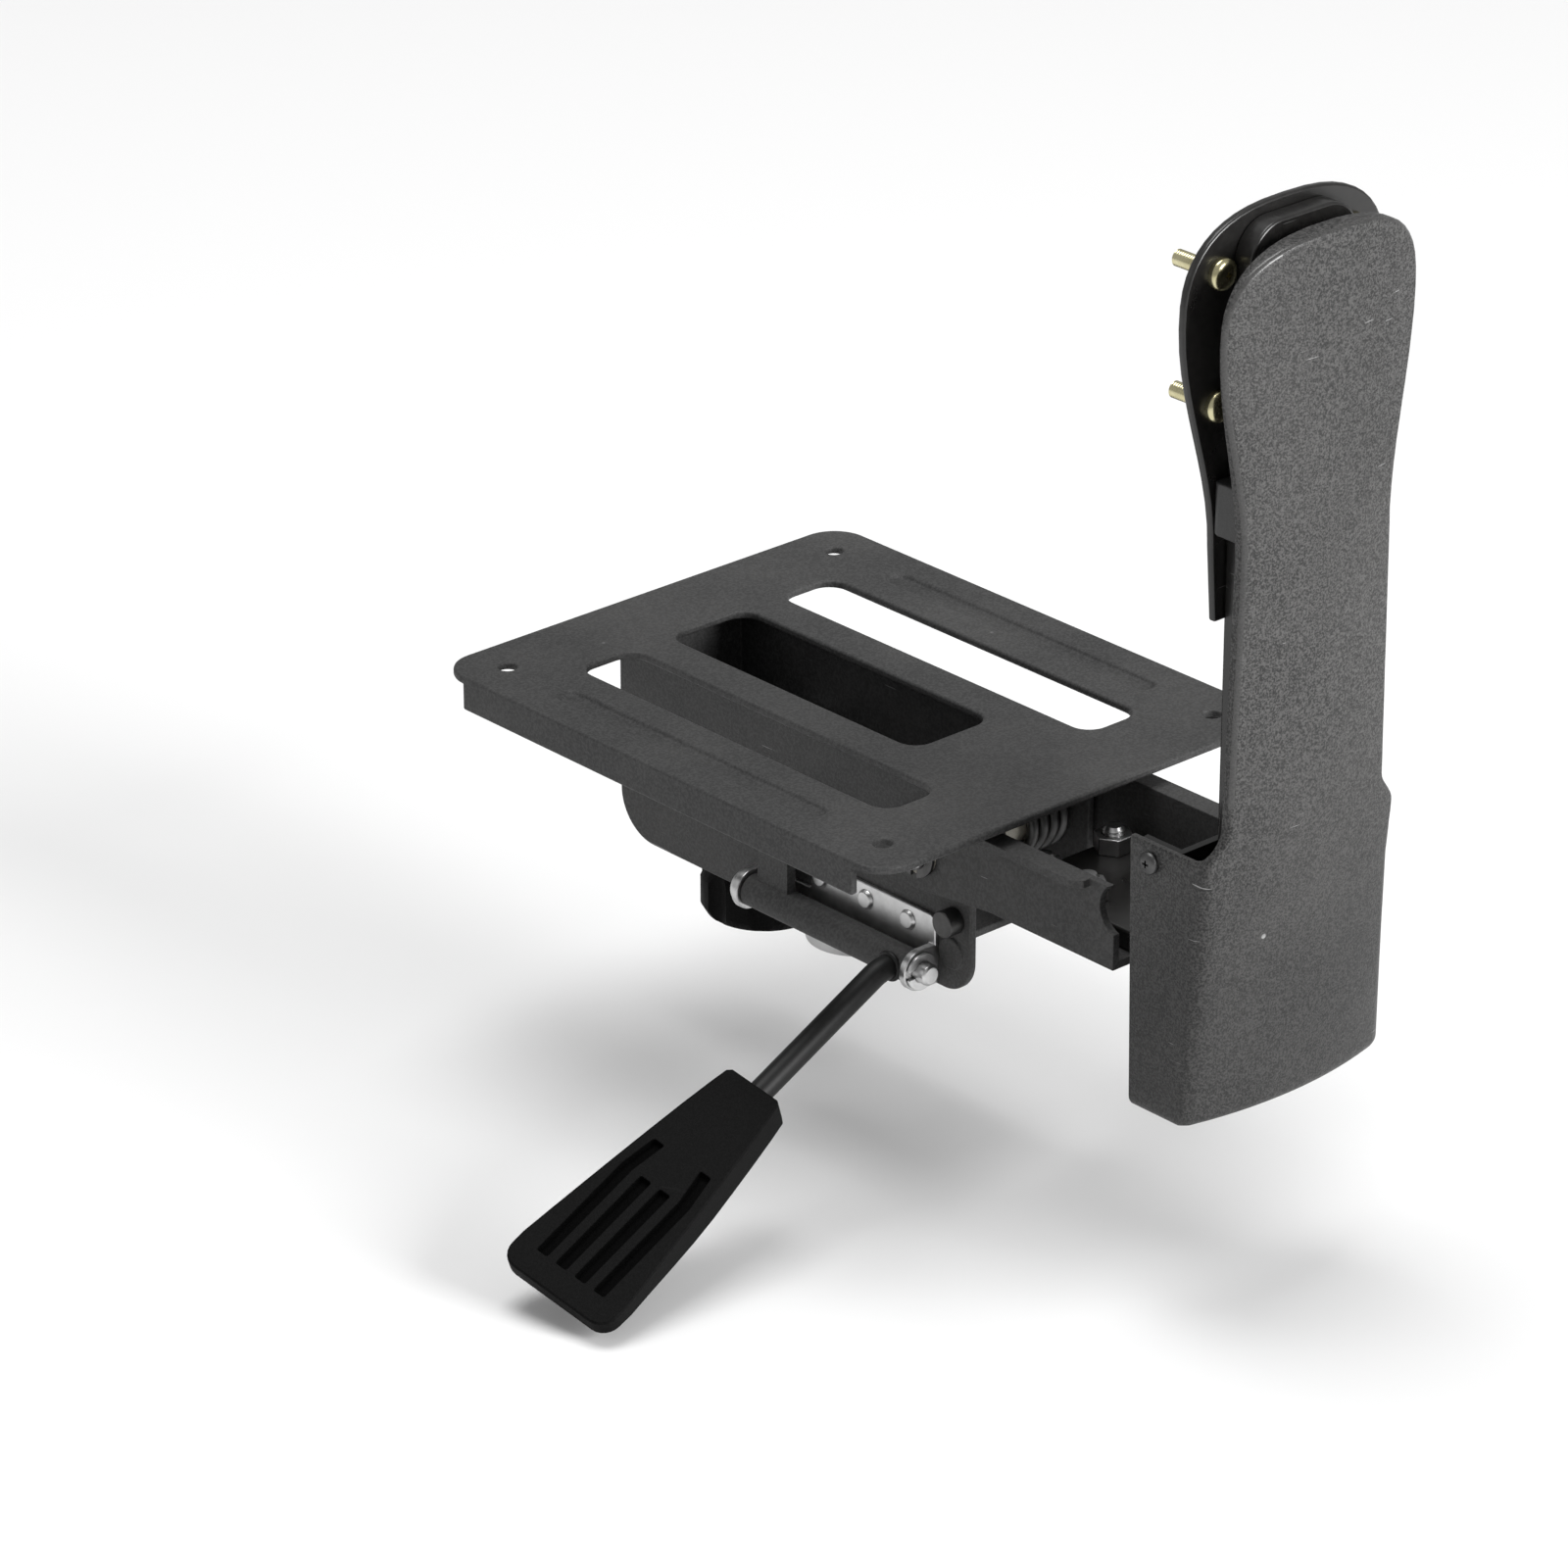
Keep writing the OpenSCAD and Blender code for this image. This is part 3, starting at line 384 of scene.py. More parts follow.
mouldedLook = {"grains": 1700.0, "nicks": 55.0, "scuffs": 0.5, "dust": 0.12, "rough": 0.5, "bump": 0.5, "gloss": 0.5,
               "soil": 0.0, "paintedShadeTop": 0.18, "paintedShadeFull": 0.07,
               "dark": grey(0.03), "light": grey(0.06), "dustColour": grey(0.2, 0.03), "bare": grey(0.55)}
# the cover gets painted shade, its colour darker towards the bottom
charcoalCover = mouldedFinish("charcoal cover", {
    **mouldedLook, "dark": grey(0.002, 0.015), "light": grey(0.068, 0.02), "grains": 1250.0, "scuffs": 0.45,
    "dust": 0.08, "rough": 0.47, "bump": 0.75, "gloss": 0.45, "bare": grey(0.6), "soil": 0.5})
coverEdge = mouldedFinish("cover edge", {
    **mouldedLook, "dark": grey(0.03, 0.015), "light": grey(0.05, 0.015), "grains": 1400.0, "scuffs": 0.3,
    "dust": 0.08, "rough": 0.26, "bump": 0.15, "gloss": 0.6})
blackGrip = mouldedFinish("black grip plastic", {
    **mouldedLook, "dark": grey(0.0025), "light": grey(0.006), "grains": 2300.0, "scuffs": 0.1, "dust": 0.05,
    "rough": 0.55, "bump": 0.2, "gloss": 0.045, "dustColour": grey(0.02), "bare": grey(0.03)})
# painted shade and dirt: the groove faces are darker than the grip face
grooveShadeAndDirt = mouldedFinish("groove shade and dirt", {
    **mouldedLook, "dark": grey(0.001), "light": grey(0.003), "grains": 2300.0, "scuffs": 0.0, "dust": 0.02,
    "rough": 0.7, "bump": 0.2, "gloss": 0.03, "dustColour": grey(0.01)})
clipPlastic = mouldedFinish("clip plastic", {
    **mouldedLook, "dark": grey(0.012), "light": grey(0.02), "scuffs": 0.1, "dust": 0.05, "rough": 0.4, "bump": 0.2})
greyPowder = mouldedFinish("grey powder paint", {
    **mouldedLook, "dark": grey(0.028), "light": grey(0.049), "grains": 900.0, "scuffs": 0.25, "dust": 0.12,
    "rough": 0.58, "bump": 0.28, "gloss": 0.3})
blackGloss = mouldedFinish("black gloss paint", {
    **mouldedLook, "dark": grey(0.008, 0.05), "light": grey(0.012, 0.05), "grains": 420.0, "scuffs": 0.15, "dust": 0.06,
    "rough": 0.27, "bump": 0.05})
rodBlack = mouldedFinish("rod black", {
    **mouldedLook, "dark": grey(0.003), "light": grey(0.005), "grains": 300.0, "scuffs": 0.1, "dust": 0.03,
    "rough": 0.5, "bump": 0.03, "gloss": 0.35, "dustColour": grey(0.03)})
bearingPlastic = mouldedFinish("bearing plastic", {
    **mouldedLook, "dark": (0.33, 0.31, 0.26, 1), "light": (0.4, 0.38, 0.32, 1), "scuffs": 0.05, "dust": 0.2,
    "rough": 0.42, "bump": 0.12})
padRubber = mouldedFinish("pad rubber", {
    **mouldedLook, "dark": grey(0.01), "light": grey(0.02), "scuffs": 0.0, "dust": 0.35, "rough": 0.7, "bump": 0.3})

metalLook = {"lines": 2500.0, "scuffs": 0.3, "dust": 0.1, "rough": 0.22, "streak": 0.16, "bump": 0.12, "metal": 1.0,
             "dark": grey(0.5), "light": grey(0.72), "dustColour": grey(0.18, 0.04), "bare": grey(0.85)}
brightZinc = metalFinish("bright zinc", metalLook)
darkZinc = metalFinish("dark zinc", {
    **metalLook, "dark": grey(0.05), "light": grey(0.11), "rough": 0.34, "scuffs": 0.2})
yellowZinc = metalFinish("yellow zinc", {
    **metalLook, "dark": (0.5, 0.45, 0.25, 1), "light": (0.72, 0.68, 0.45, 1), "rough": 0.16, "bump": 0.06})
turnedSteel = metalFinish("turned steel", {
    **metalLook, "dark": grey(0.36), "light": grey(0.5), "rough": 0.28, "dust": 0.25, "streak": 0.22})
springSteel = metalFinish("oiled spring steel", {
    **metalLook, "dark": grey(0.045), "light": grey(0.1), "rough": 0.3, "dust": 0.2, "bare": grey(0.4)})
insertBrass = metalFinish("insert brass", {
    **metalLook, "dark": (0.55, 0.38, 0.13, 1), "light": (0.7, 0.52, 0.22, 1), "rough": 0.25})
finishes = {"grey_paint": greyPowder, "black_paint": blackGloss, "plain_steel": turnedSteel, "zinc": brightZinc,
            "yellow_zinc": yellowZinc, "spring_steel": springSteel, "brass": insertBrass,
            "bearing_plastic": bearingPlastic, "black_rubber": padRubber, "black_plastic": blackGrip,
            "charcoal_plastic": charcoalCover}
for nodeName, node in nodes.items():  # every carried over node has its finish
    node.data.materials.clear()
    node.data.materials.append(finishes[slotOf[nodeName]])
print("finishes ready")


# outlines and turned bodies

def ease(t):
    t = min(max(t, 0), 1)
    return t * t * (3 - 2 * t)


def growOutline(rows, y, keepRows=False):  # flat face in X and Z from rows of height, half width and middle
    bpy.ops.object.select_all(action="DESELECT")
    bpy.ops.mesh.primitive_plane_add(size=1, rotation=(pi / 2, 0, 0))
    sheet = settle(bpy.context.object, "outline")
    openMesh(sheet)
    (z0, half0, x0), (z1, half1, x1) = rows[0], rows[1]
    pickVerts(lambda p: p.z < 0)
    bpy.ops.transform.resize(value=(2 * half0 * mm, 1, 1))
    bpy.ops.transform.translate(value=(x0 * mm, y * mm, z0 * mm + 0.5))
    pickVerts(lambda p: abs(p.y) < 1e-6)
    bpy.ops.transform.resize(value=(2 * half1 * mm, 1, 1))
    bpy.ops.transform.translate(value=(x1 * mm, y * mm, z1 * mm - 0.5))
    for (below, wide, left), (above, narrow, right) in zip(rows[1:], rows[2:]):
        step = ((right - left) * mm, 0, (above - below) * mm)
        bpy.ops.mesh.extrude_edges_move(TRANSFORM_OT_translate={"value": step})
        bpy.ops.transform.resize(value=(narrow / wide, 1, 1))
    if not keepRows:
        bpy.ops.mesh.select_mode(type="FACE")
        bpy.ops.mesh.select_all(action="SELECT")
        bpy.ops.mesh.dissolve_faces()
    closeMesh()
    return sheet


def deepen(sheet, depth):  # outline pulled along Y into a closed body
    openMesh(sheet)
    bpy.ops.mesh.select_all(action="SELECT")
    bpy.ops.mesh.extrude_region_move(TRANSFORM_OT_translate={"value": (0, depth * mm, 0)})
    bpy.ops.mesh.select_all(action="SELECT")
    bpy.ops.mesh.normals_make_consistent(inside=False)
    closeMesh()


def turned(rows, sides=32):  # rings on Z, each a height and a radius
    bpy.ops.object.select_all(action="DESELECT")
    bpy.ops.mesh.primitive_circle_add(vertices=sides, radius=rows[0][1] * mm, fill_type="NGON",
                                      location=(0, 0, rows[0][0] * mm))
    piece = settle(bpy.context.object, "turned")
    openMesh(piece)
    bpy.ops.mesh.select_all(action="SELECT")
    for (low, before), (high, after) in zip(rows, rows[1:]):
        bpy.ops.mesh.extrude_region_move(TRANSFORM_OT_translate={"value": (0, 0, (high - low) * mm)})
        bpy.ops.transform.resize(value=(after / before, after / before, 1))
    bpy.ops.mesh.select_all(action="SELECT")
    bpy.ops.mesh.normals_make_consistent(inside=False)
    closeMesh()
    return piece


def threadRows(low, high, outer, pitch=1.0):  # crests and roots of a thread
    count = int((high - low) / pitch)
    rows = []
    for i in range(count):
        rows += [(low + pitch * (i + part), outer * share) for part, share in ((0.3, 1), (0.45, 1), (0.95, 0.86))]
    return rows


def crossRecess(piece, top, size, deep):  # tapered cross in the head, seen along Z
    slim = 0.26 * size
    for wide, long in ((slim, size), (size, slim)):
        cutter = addBlock((-wide / 2 * mm, -long / 2 * mm, (top - deep) * mm),
                          (wide / 2 * mm, long / 2 * mm, (top + 2) * mm))
        openMesh(cutter)
        pickVerts(lambda p: p.z < (top - deep / 2) * mm)
        bpy.ops.transform.resize(value=(0.6, 0.6, 1))
        closeMesh()
        carve(piece, cutter)


# back cover: outline by rows, walls, soft rim, crown, thickness, then the front is cut to shape

coverSizes = {"foot": 20, "footHalf": 48.5, "footRound": 4.5, "boxTop": 120, "boxHalf": 45, "trayHalf": 37.2,
              "stepRise": 13, "neck": 230, "neckHalf": 35, "shoulder": 305.5, "headHalf": 45.3, "top": 338,
              "headCurve": 0.77, "rear": 221.5, "crown": 6, "front": 182, "boxFront": 185, "frontLean": 5.5,
              "trayFront": 219.7, "rearLean": 4.2, "topLean": 1.2, "topBand": 4,
              "boxRim": 5.5, "trayRim": 1.8, "rimFrom": 92, "rimRun": 26, "wall": 1.6,  # rims stay larger than the wall
              "cutHalf": 70, "cutFrom": 140, "cornerRound": 6, "edgeSoft": 0.08, "column": 6, "lastColumn": 36,
              "row": 12, "wornFrom": 140}


def coverRows(s):  # height, half width and middle, from the foot to the top
    slope = (s["footHalf"] - s["boxHalf"]) / (s["boxTop"] - s["foot"])
    low = s["boxTop"] - 2
    rows = [(z, s["footHalf"] - slope * (z - s["foot"])) for z in (s["foot"], 45, 70, *range(94, 115, 4), low)]
    start = rows[-1][1]
    rows += [(low + s["stepRise"] * i / 8, start + (s["trayHalf"] - start) * ease(i / 8)) for i in range(1, 9)]
    begin = rows[-1][0]
    rows += [(begin + (s["neck"] - begin) * i / 5, s["trayHalf"] + (s["neckHalf"] - s["trayHalf"]) * i / 5)
             for i in range(1, 6)]
    rise = s["shoulder"] - s["neck"]
    rows += [(s["neck"] + rise * i / 10, s["neckHalf"] + (s["headHalf"] - s["neckHalf"]) * ease(i / 10))
             for i in range(1, 11)]
    rows += [(s["shoulder"] + (s["top"] - s["shoulder"]) * sin(radians(a)) ** s["headCurve"],
              s["headHalf"] * cos(radians(a)) ** s["headCurve"]) for a in (*range(8, 65, 8), 71, 77, 82)]
    rows.append((s["top"], rows[-1][1] * 0.6))
    return [(z, half, 0) for z, half in rows]


def rimShare(a, b):  # share of the box's rim radius that an edge of the outline gets
    s = coverSizes
    small = s["trayRim"] / s["boxRim"]
    if min(a.y, b.y) > (s["rear"] - 0.1) * mm:
        middle = (a.z + b.z) / 2 / mm
        return 1 + (small - 1) * ease((middle - s["rimFrom"]) / s["rimRun"])
    if max(a.z, b.z) < (s["foot"] + 0.1) * mm and abs(a.x - b.x) < 1e-5:
        return s["footRound"] / s["boxRim"]
    return 0


def makeCover():
    s = coverSizes
    cover = growOutline(coverRows(s), s["rear"])
    deepen(cover, s["front"] - s["rear"])
    openMesh(cover)
    pickFaces(lambda p, n: p.y < (s["front"] + 0.1) * mm)
    bpy.ops.mesh.delete(type="FACE")
    mesh = bmesh.from_edit_mesh(cover.data)
    share = mesh.edges.layers.float.new("bevel_weight_edge")
    for edge in mesh.edges:
        edge[share] = rimShare(edge.verts[0].co, edge.verts[1].co)
    bmesh.update_edit_mesh(cover.data)
    closeMesh()
    modify(cover, "BEVEL", width=s["boxRim"] * mm, segments=6, limit_method="WEIGHT", use_clamp_overlap=False)
    openMesh(cover)
    for x in range(-s["lastColumn"], s["lastColumn"] + 1, s["column"]):  # columns for the crown
        bpy.ops.mesh.select_all(action="SELECT")
        bpy.ops.mesh.bisect(plane_co=(x * mm, 0, 0), plane_no=(1, 0, 0))
    for z in range(s["foot"] + s["row"], s["top"] - 2, s["row"]):  # rows for the lean
        bpy.ops.mesh.select_all(action="SELECT")
        bpy.ops.mesh.bisect(plane_co=(0, 0, z * mm), plane_no=(0, 0, 1))
    tidyMesh(0.2)
    pickVerts(lambda p: p.y < (s["rear"] - s["boxRim"] - 0.2) * mm)
    bpy.ops.mesh.hide()  # only the rear face moves
    pickVerts(lambda p: abs(p.x) < 1e-5 and p.y > (s["rear"] - 0.1) * mm)
    bpy.ops.transform.translate(value=(0, s["crown"] * mm, 0), use_proportional_edit=True,
                                proportional_edit_falloff="INVERSE_SQUARE", proportional_size=s["headHalf"] * mm)
    pickVerts(lambda p: p.z < (s["foot"] + s["boxRim"] + 0.3) * mm)
    bpy.ops.transform.translate(value=(0, -s["rearLean"] * mm, 0), use_proportional_edit=True,
                                proportional_edit_falloff="LINEAR", proportional_size=(s["boxTop"] - s["foot"]) * mm)
    pickVerts(lambda p: p.z > (s["top"] - s["topBand"]) * mm)
    bpy.ops.transform.translate(value=(0, s["topLean"] * mm, 0), use_proportional_edit=True,
                                proportional_edit_falloff="LINEAR", proportional_size=(s["top"] - s["boxTop"]) * mm)
    bpy.ops.mesh.reveal(select=False)
    lean = s["frontLean"] / (s["boxTop"] - s["foot"])
    bpy.ops.mesh.select_all(action="SELECT")
    bpy.ops.mesh.bisect(plane_co=(0, s["boxFront"] * mm, s["boxTop"] * mm), plane_no=(0, 1, lean),
                        clear_inner=True)
    closeMesh()
    modify(cover, "SOLIDIFY", thickness=s["wall"] * mm, offset=-1, use_even_offset=True)
    cutter = addBlock((-s["cutHalf"] * mm, s["cutFrom"] * mm, s["boxTop"] * mm),
                      (s["cutHalf"] * mm, s["trayFront"] * mm, (s["top"] + 2) * mm))
    openMesh(cutter)
    pickVerts(lambda p: p.z > s["top"] * mm)
    bpy.ops.transform.translate(value=(0, s["topLean"] * mm, 0))
    pickEdges(lambda a, b: min(a.y, b.y) > (s["trayFront"] - 1) * mm and max(a.z, b.z) < (s["boxTop"] + 1) * mm)
    bpy.ops.mesh.bevel(offset=s["cornerRound"] * mm, segments=8, affect="EDGES")
    closeMesh()
    carve(cover, cutter)
    openMesh(cover)
    tidyMesh(0.15)
    closeMesh()
    modify(cover, "BEVEL", width=s["edgeSoft"] * mm, segments=2, limit_method="ANGLE", angle_limit=radians(50),
           use_clamp_overlap=False)
    smooth(cover, 40)
    cover.data.materials.append(charcoalCover)
    cover.data.materials.append(coverEdge)
    for face in cover.data.polygons:  # the rim above the box is worn smooth
        face.material_index = 1 if 0.15 < face.normal.y < 0.9 and face.center.z > s["wornFrom"] * mm else 0
    return settle(cover, "backCoverShell")


stand(makeCover(), "back_cover")
print("back cover modelled")


# lever: bent rod with its weld, and the grip

rodSizes = {"radius": 4.5, "y": 66, "z": 26.5, "start": 43.0, "bendAt": 45.5, "bendRadius": 16, "droop": 27,
            "length": 89, "bead": 1.1, "beadAt": 1.6}


def makeRod():
    s = rodSizes
    droop = radians(s["droop"])
    bpy.ops.object.select_all(action="DESELECT")
    bpy.ops.mesh.primitive_circle_add(vertices=32, radius=s["radius"] * mm, rotation=(0, pi / 2, 0),
                                      location=(s["start"] * mm, s["y"] * mm, s["z"] * mm))
    rod = settle(bpy.context.object, "rod")
    openMesh(rod)
    bpy.ops.mesh.select_mode(type="EDGE")
    bpy.ops.mesh.select_all(action="SELECT")
    bpy.ops.mesh.edge_face_add()
    bpy.ops.mesh.extrude_region_move(TRANSFORM_OT_translate={"value": ((s["bendAt"] - s["start"]) * mm, 0, 0)})
    bpy.ops.mesh.spin(steps=12, angle=-droop, axis=(0, 1, 0),
                      center=(s["bendAt"] * mm, s["y"] * mm, (s["z"] - s["bendRadius"]) * mm))
    reach = (s["length"] * cos(droop) * mm, 0, -s["length"] * sin(droop) * mm)
    bpy.ops.mesh.extrude_region_move(TRANSFORM_OT_translate={"value": reach})
    tidyMesh(0.01)
    bpy.ops.mesh.normals_make_consistent(inside=False)
    closeMesh()
    bpy.ops.object.select_all(action="DESELECT")
    bpy.ops.mesh.primitive_torus_add(major_radius=(s["radius"] + 0.2) * mm, minor_radius=s["bead"] * mm,
                                     location=((s["start"] + s["beadAt"]) * mm, s["y"] * mm, s["z"] * mm),
                                     rotation=(0, pi / 2, 0))
    bead = bpy.context.object
    smooth(rod, 60)
    smooth(bead, 60)
    return joined([rod, bead], "leverRodBent")


stand(makeRod(), "lever_rod", rodBlack)

gripSizes = {"length": 106, "neckHalf": 12, "endHalf": 25, "flare": 93.3, "corner": 7, "thick": 14, "rise": 6,
             "roll": 16, "start": 61, "grooves": (-13.5, -4.5, 4.5, 13.5), "grooveHalf": 2.5, "grooveDeep": 2.6,
             "grooveEnd": 96, "grooveStart": 52, "grooveCorner": 0.8, "bendBack": 14, "bendIn": 0.82, "topRound": 0.9,
             "lowRound": 2.4, "neckEnd": 10.6, "neckCorner": 1.5, "row": 12, "riseReach": 62, "edgeSoft": 0.4}


def gripHalf(along):
    s = gripSizes
    return s["neckHalf"] + (s["endHalf"] - s["neckHalf"]) * min(along / s["flare"], 1) ** 0.85


def gripRows():
    s = gripSizes
    rows = [(0, s["neckEnd"]), (s["neckCorner"], gripHalf(s["neckCorner"]))]
    rows += [(along, gripHalf(along)) for along in range(9, 94, s["row"])]
    middle, inner = s["length"] - s["corner"], s["endHalf"] - s["corner"]
    rows += [(middle + s["corner"] * sin(radians(a)), inner + s["corner"] * cos(radians(a))) for a in range(0, 91, 15)]
    return [(along, half, 0) for along, half in rows]


def onRim(a, b):  # an edge of the grip's outline, not one of its cross rows
    across = abs(a.x + b.x) < 1e-6 and abs(a.z - b.z) < 1e-6
    return abs(a.y - b.y) < 3 * mm and (not across or a.z < 1e-6 or a.z > (gripSizes["length"] - 0.01) * mm)


def inGroove(p):
    s = gripSizes
    deep = s["thick"] / 2 - p.y / mm
    side = s["grooves"][-1] + s["grooveHalf"] + 1
    first, last = s["grooveStart"] - s["bendBack"] - 2, s["grooveEnd"] + 1
    return 0.3 < deep < s["grooveDeep"] + 0.1 and abs(p.x) < side * mm and first * mm < p.z < last * mm


def makeGrip():  # laid out along Z with its face to +Y, then turned onto the rod
    s, r = gripSizes, rodSizes
    top = s["thick"] / 2
    grip = growOutline(gripRows(), top, keepRows=True)
    deepen(grip, -s["thick"])
    low, high = s["neckCorner"] + 0.5, s["length"] - s["corner"] - 1
    openMesh(grip)
    pickEdges(lambda a, b: abs(a.y - b.y) < 1e-6 and not onRim(a, b) and not low * mm < a.z < high * mm)
    bpy.ops.mesh.dissolve_edges(use_verts=False)  # no cross rows in the corners
    pickVerts(lambda p: p.y > 0)
    bpy.ops.mesh.hide()  # the face with the grooves stays flat
    pickVerts(lambda p: p.z > (s["length"] - 1) * mm)
    bpy.ops.transform.translate(value=(0, s["rise"] * mm, 0), use_proportional_edit=True,
                                proportional_edit_falloff="SMOOTH", proportional_size=s["riseReach"] * mm)
    bpy.ops.mesh.reveal(select=False)
    pickEdges(lambda a, b: max(a.y, b.y) < (top - 0.5) * mm and onRim(a, b))
    bpy.ops.mesh.bevel(offset=s["lowRound"] * mm, segments=4, affect="EDGES")
    pickEdges(lambda a, b: min(a.y, b.y) > (top - 0.1) * mm and onRim(a, b))
    bpy.ops.mesh.bevel(offset=s["topRound"] * mm, segments=3, affect="EDGES")
    closeMesh()
    for middle in s["grooves"]:
        rows = [(s["grooveStart"], s["grooveHalf"], middle), (s["grooveEnd"], s["grooveHalf"], middle)]
        if abs(middle) == s["grooves"][-1]:  # the outer grooves bend in at the top
            rows.insert(0, (s["grooveStart"] - s["bendBack"], s["grooveHalf"], middle * s["bendIn"]))
        cutter = growOutline(rows, top + 2)
        deepen(cutter, -2 - s["grooveDeep"])
        openMesh(cutter)
        pickEdges(lambda a, b: abs(a.y - b.y) > 1 * mm)
        bpy.ops.mesh.bevel(offset=s["grooveCorner"] * mm, segments=3, affect="EDGES")
        closeMesh()
        carve(grip, cutter)
    openMesh(grip)
    tidyMesh(0.05)
    closeMesh()
    modify(grip, "BEVEL", width=s["edgeSoft"] * mm, segments=2, limit_method="ANGLE", angle_limit=radians(50),
           use_clamp_overlap=True)
    smooth(grip, 40)
    grip.data.materials.append(blackGrip)
    grip.data.materials.append(grooveShadeAndDirt)
    # faces in the grooves take the painted shade and dirt finish
    for face in grip.data.polygons:
        face.material_index = 1 if inGroove(face.center) else 0
    droop, roll = radians(r["droop"]), radians(s["roll"])
    along = Vector((cos(droop), 0, -sin(droop)))
    up = Vector((sin(droop), 0, cos(droop)))
    side = Vector((0, 1, 0))
    face = cos(roll) * up + sin(roll) * side
    wide = cos(roll) * side - sin(roll) * up
    bendEnd = Vector((r["bendAt"] + r["bendRadius"] * sin(droop), r["y"],
                      r["z"] - r["bendRadius"] * (1 - cos(droop))))
    turn = Matrix((wide, face, along)).transposed().to_4x4()
    grip.matrix_world = Matrix.Translation((bendEnd + s["start"] * along) * mm) @ turn
    settle(grip, "leverGrip")
    evenShade(grip)
    return grip


stand(makeGrip(), "lever_paddle")
print("lever modelled")


# torsion springs: a coil with its rear leg and a front leg of its own, mirrored for the right side

springSizes = {"wire": 2.2, "coil": 13.4, "pitch": 5, "turns": 4, "shaft": 70, "outer": 24.3, "front": -61, "rear": 118,
               "legParts": (0.06, 0.1, 0.16, 0.2, 0.2, 0.26), "tip": 0.02, "tipShare": 0.75}


def wireAt(x):  # round section of the wire at the foot of the coil
    s = springSizes
    bpy.ops.object.select_all(action="DESELECT")
    bpy.ops.mesh.primitive_circle_add(vertices=16, radius=s["wire"] * mm, rotation=(pi / 2, 0, 0),
                                      location=(x * mm, 0, -s["coil"] * mm))
    return settle(bpy.context.object, "wire")


def pullLeg(end):  # the picked section becomes a leg with a chamfered end
    s = springSizes
    run = (end - s["shaft"]) * mm
    for part in (*s["legParts"], s["tip"]):
        bpy.ops.mesh.extrude_edges_move(TRANSFORM_OT_translate={"value": (0, run * part, 0)})
    bpy.ops.transform.resize(value=(s["tipShare"], 1, s["tipShare"]))
    bpy.ops.mesh.edge_face_add()


def makeCoil():
    s = springSizes
    inner = s["outer"] - s["pitch"] * s["turns"]
    reach = s["wire"] + 0.1
    coil = wireAt(s["outer"])
    modify(coil, "SCREW", axis="X", angle=2 * pi, screw_offset=-s["pitch"] * mm, iterations=s["turns"], steps=40,
           render_steps=40, use_merge_vertices=False)
    openMesh(coil)
    tidyMesh(0.001)
    for x in (s["outer"], inner):
        pickEdges(lambda a, b: max(abs(a.y), abs(b.y)) < 1e-5 and max(a.z, b.z) < (reach - s["coil"]) * mm
                  and max(abs(a.x - x * mm), abs(b.x - x * mm)) < reach * mm)
        if x == inner:
            pullLeg(s["rear"])
        else:
            bpy.ops.mesh.edge_face_add()
    closeMesh()
    return coil


def makeFrontLeg():
    leg = wireAt(springSizes["outer"])
    openMesh(leg)
    bpy.ops.mesh.select_mode(type="EDGE")
    bpy.ops.mesh.select_all(action="SELECT")
    pullLeg(springSizes["front"])
    pickEdges(lambda a, b: max(abs(a.y), abs(b.y)) < 1e-5)
    bpy.ops.mesh.edge_face_add()
    closeMesh()
    return leg


def placeSpring(piece, name, flip):  # onto the shaft, mirrored for the right side
    if flip:
        useOnly(piece)
        bpy.ops.transform.mirror(constraint_axis=(True, False, False))
    piece.location = (0, springSizes["shaft"] * mm, springSizes["shaft"] * mm)
    settle(piece, name)
    openMesh(piece)
    bpy.ops.mesh.select_all(action="SELECT")
    bpy.ops.mesh.normals_make_consistent(inside=False)
    closeMesh()
    smooth(piece, 50)
    return piece


def standSpring(side, flip):  # the coil with its rear leg and the front leg are two pieces; neither is attached to a body
    node = "spring_" + side
    coil = placeSpring(makeCoil(), "spring" + side.capitalize() + "Coil", flip)
    leg = placeSpring(makeFrontLeg(), "spring" + side.capitalize() + "FrontLeg", flip)
    for piece in (coil, leg):
        piece.data.materials.append(springSteel)
        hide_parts(node)
    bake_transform(coil)
    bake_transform(leg)


standSpring("left", False)
standSpring("right", True)
print("springs modelled")


# screws and bolts, each modelled once on Z and copied

screwSizes = {"head": 5.7, "headHigh": 4, "shank": 3, "neck": 2.75, "neckLong": 3.4, "tip": -20, "recess": 3.6,
              "recessDeep": 1.4, "seat": 206, "x": 31, "low": 278, "rise": 46}


def makeBackScrews():
    s = screwSizes
    dome = [(s["headHigh"] * (0.34 + 0.66 * sin(radians(a))), s["head"] * cos(radians(a)) ** 0.75)
            for a in range(0, 80, 11)]
    rows = [(s["tip"], s["shank"] * 0.7)]
    rows += threadRows(s["tip"] + 0.5, -s["neckLong"] - 0.2, s["shank"] - 0.03)
    rows += [(-s["neckLong"], s["neck"]), (0, s["neck"]), (0.01, s["head"])]
    screw = turned(rows + dome)
    crossRecess(screw, s["headHigh"], s["recess"], s["recessDeep"])
    smooth(screw, 40)
    screw.rotation_euler = (-pi / 2, 0, 0)
    settle(screw, "backScrew")
    copies = [copyTo(screw, (x * mm, s["seat"] * mm, z * mm))
              for x in (-s["x"], s["x"]) for z in (s["low"], s["low"] + s["rise"])]
    bpy.data.objects.remove(screw)
    return joined(copies, "backPanScrews")


stand(makeBackScrews(), "back_screws", yellowZinc)

smallSizes = {"inner": 35.75, "seat": 45.38, "head": 4, "shank": 1.6, "tip": 0.6, "recess": 3.8, "recessDeep": 1.2,
              "dome": ((0.01, 1), (0.7, 1), (1.3, 0.88), (1.75, 0.62), (1.98, 0.3)), "y": 194.5, "z": 113}


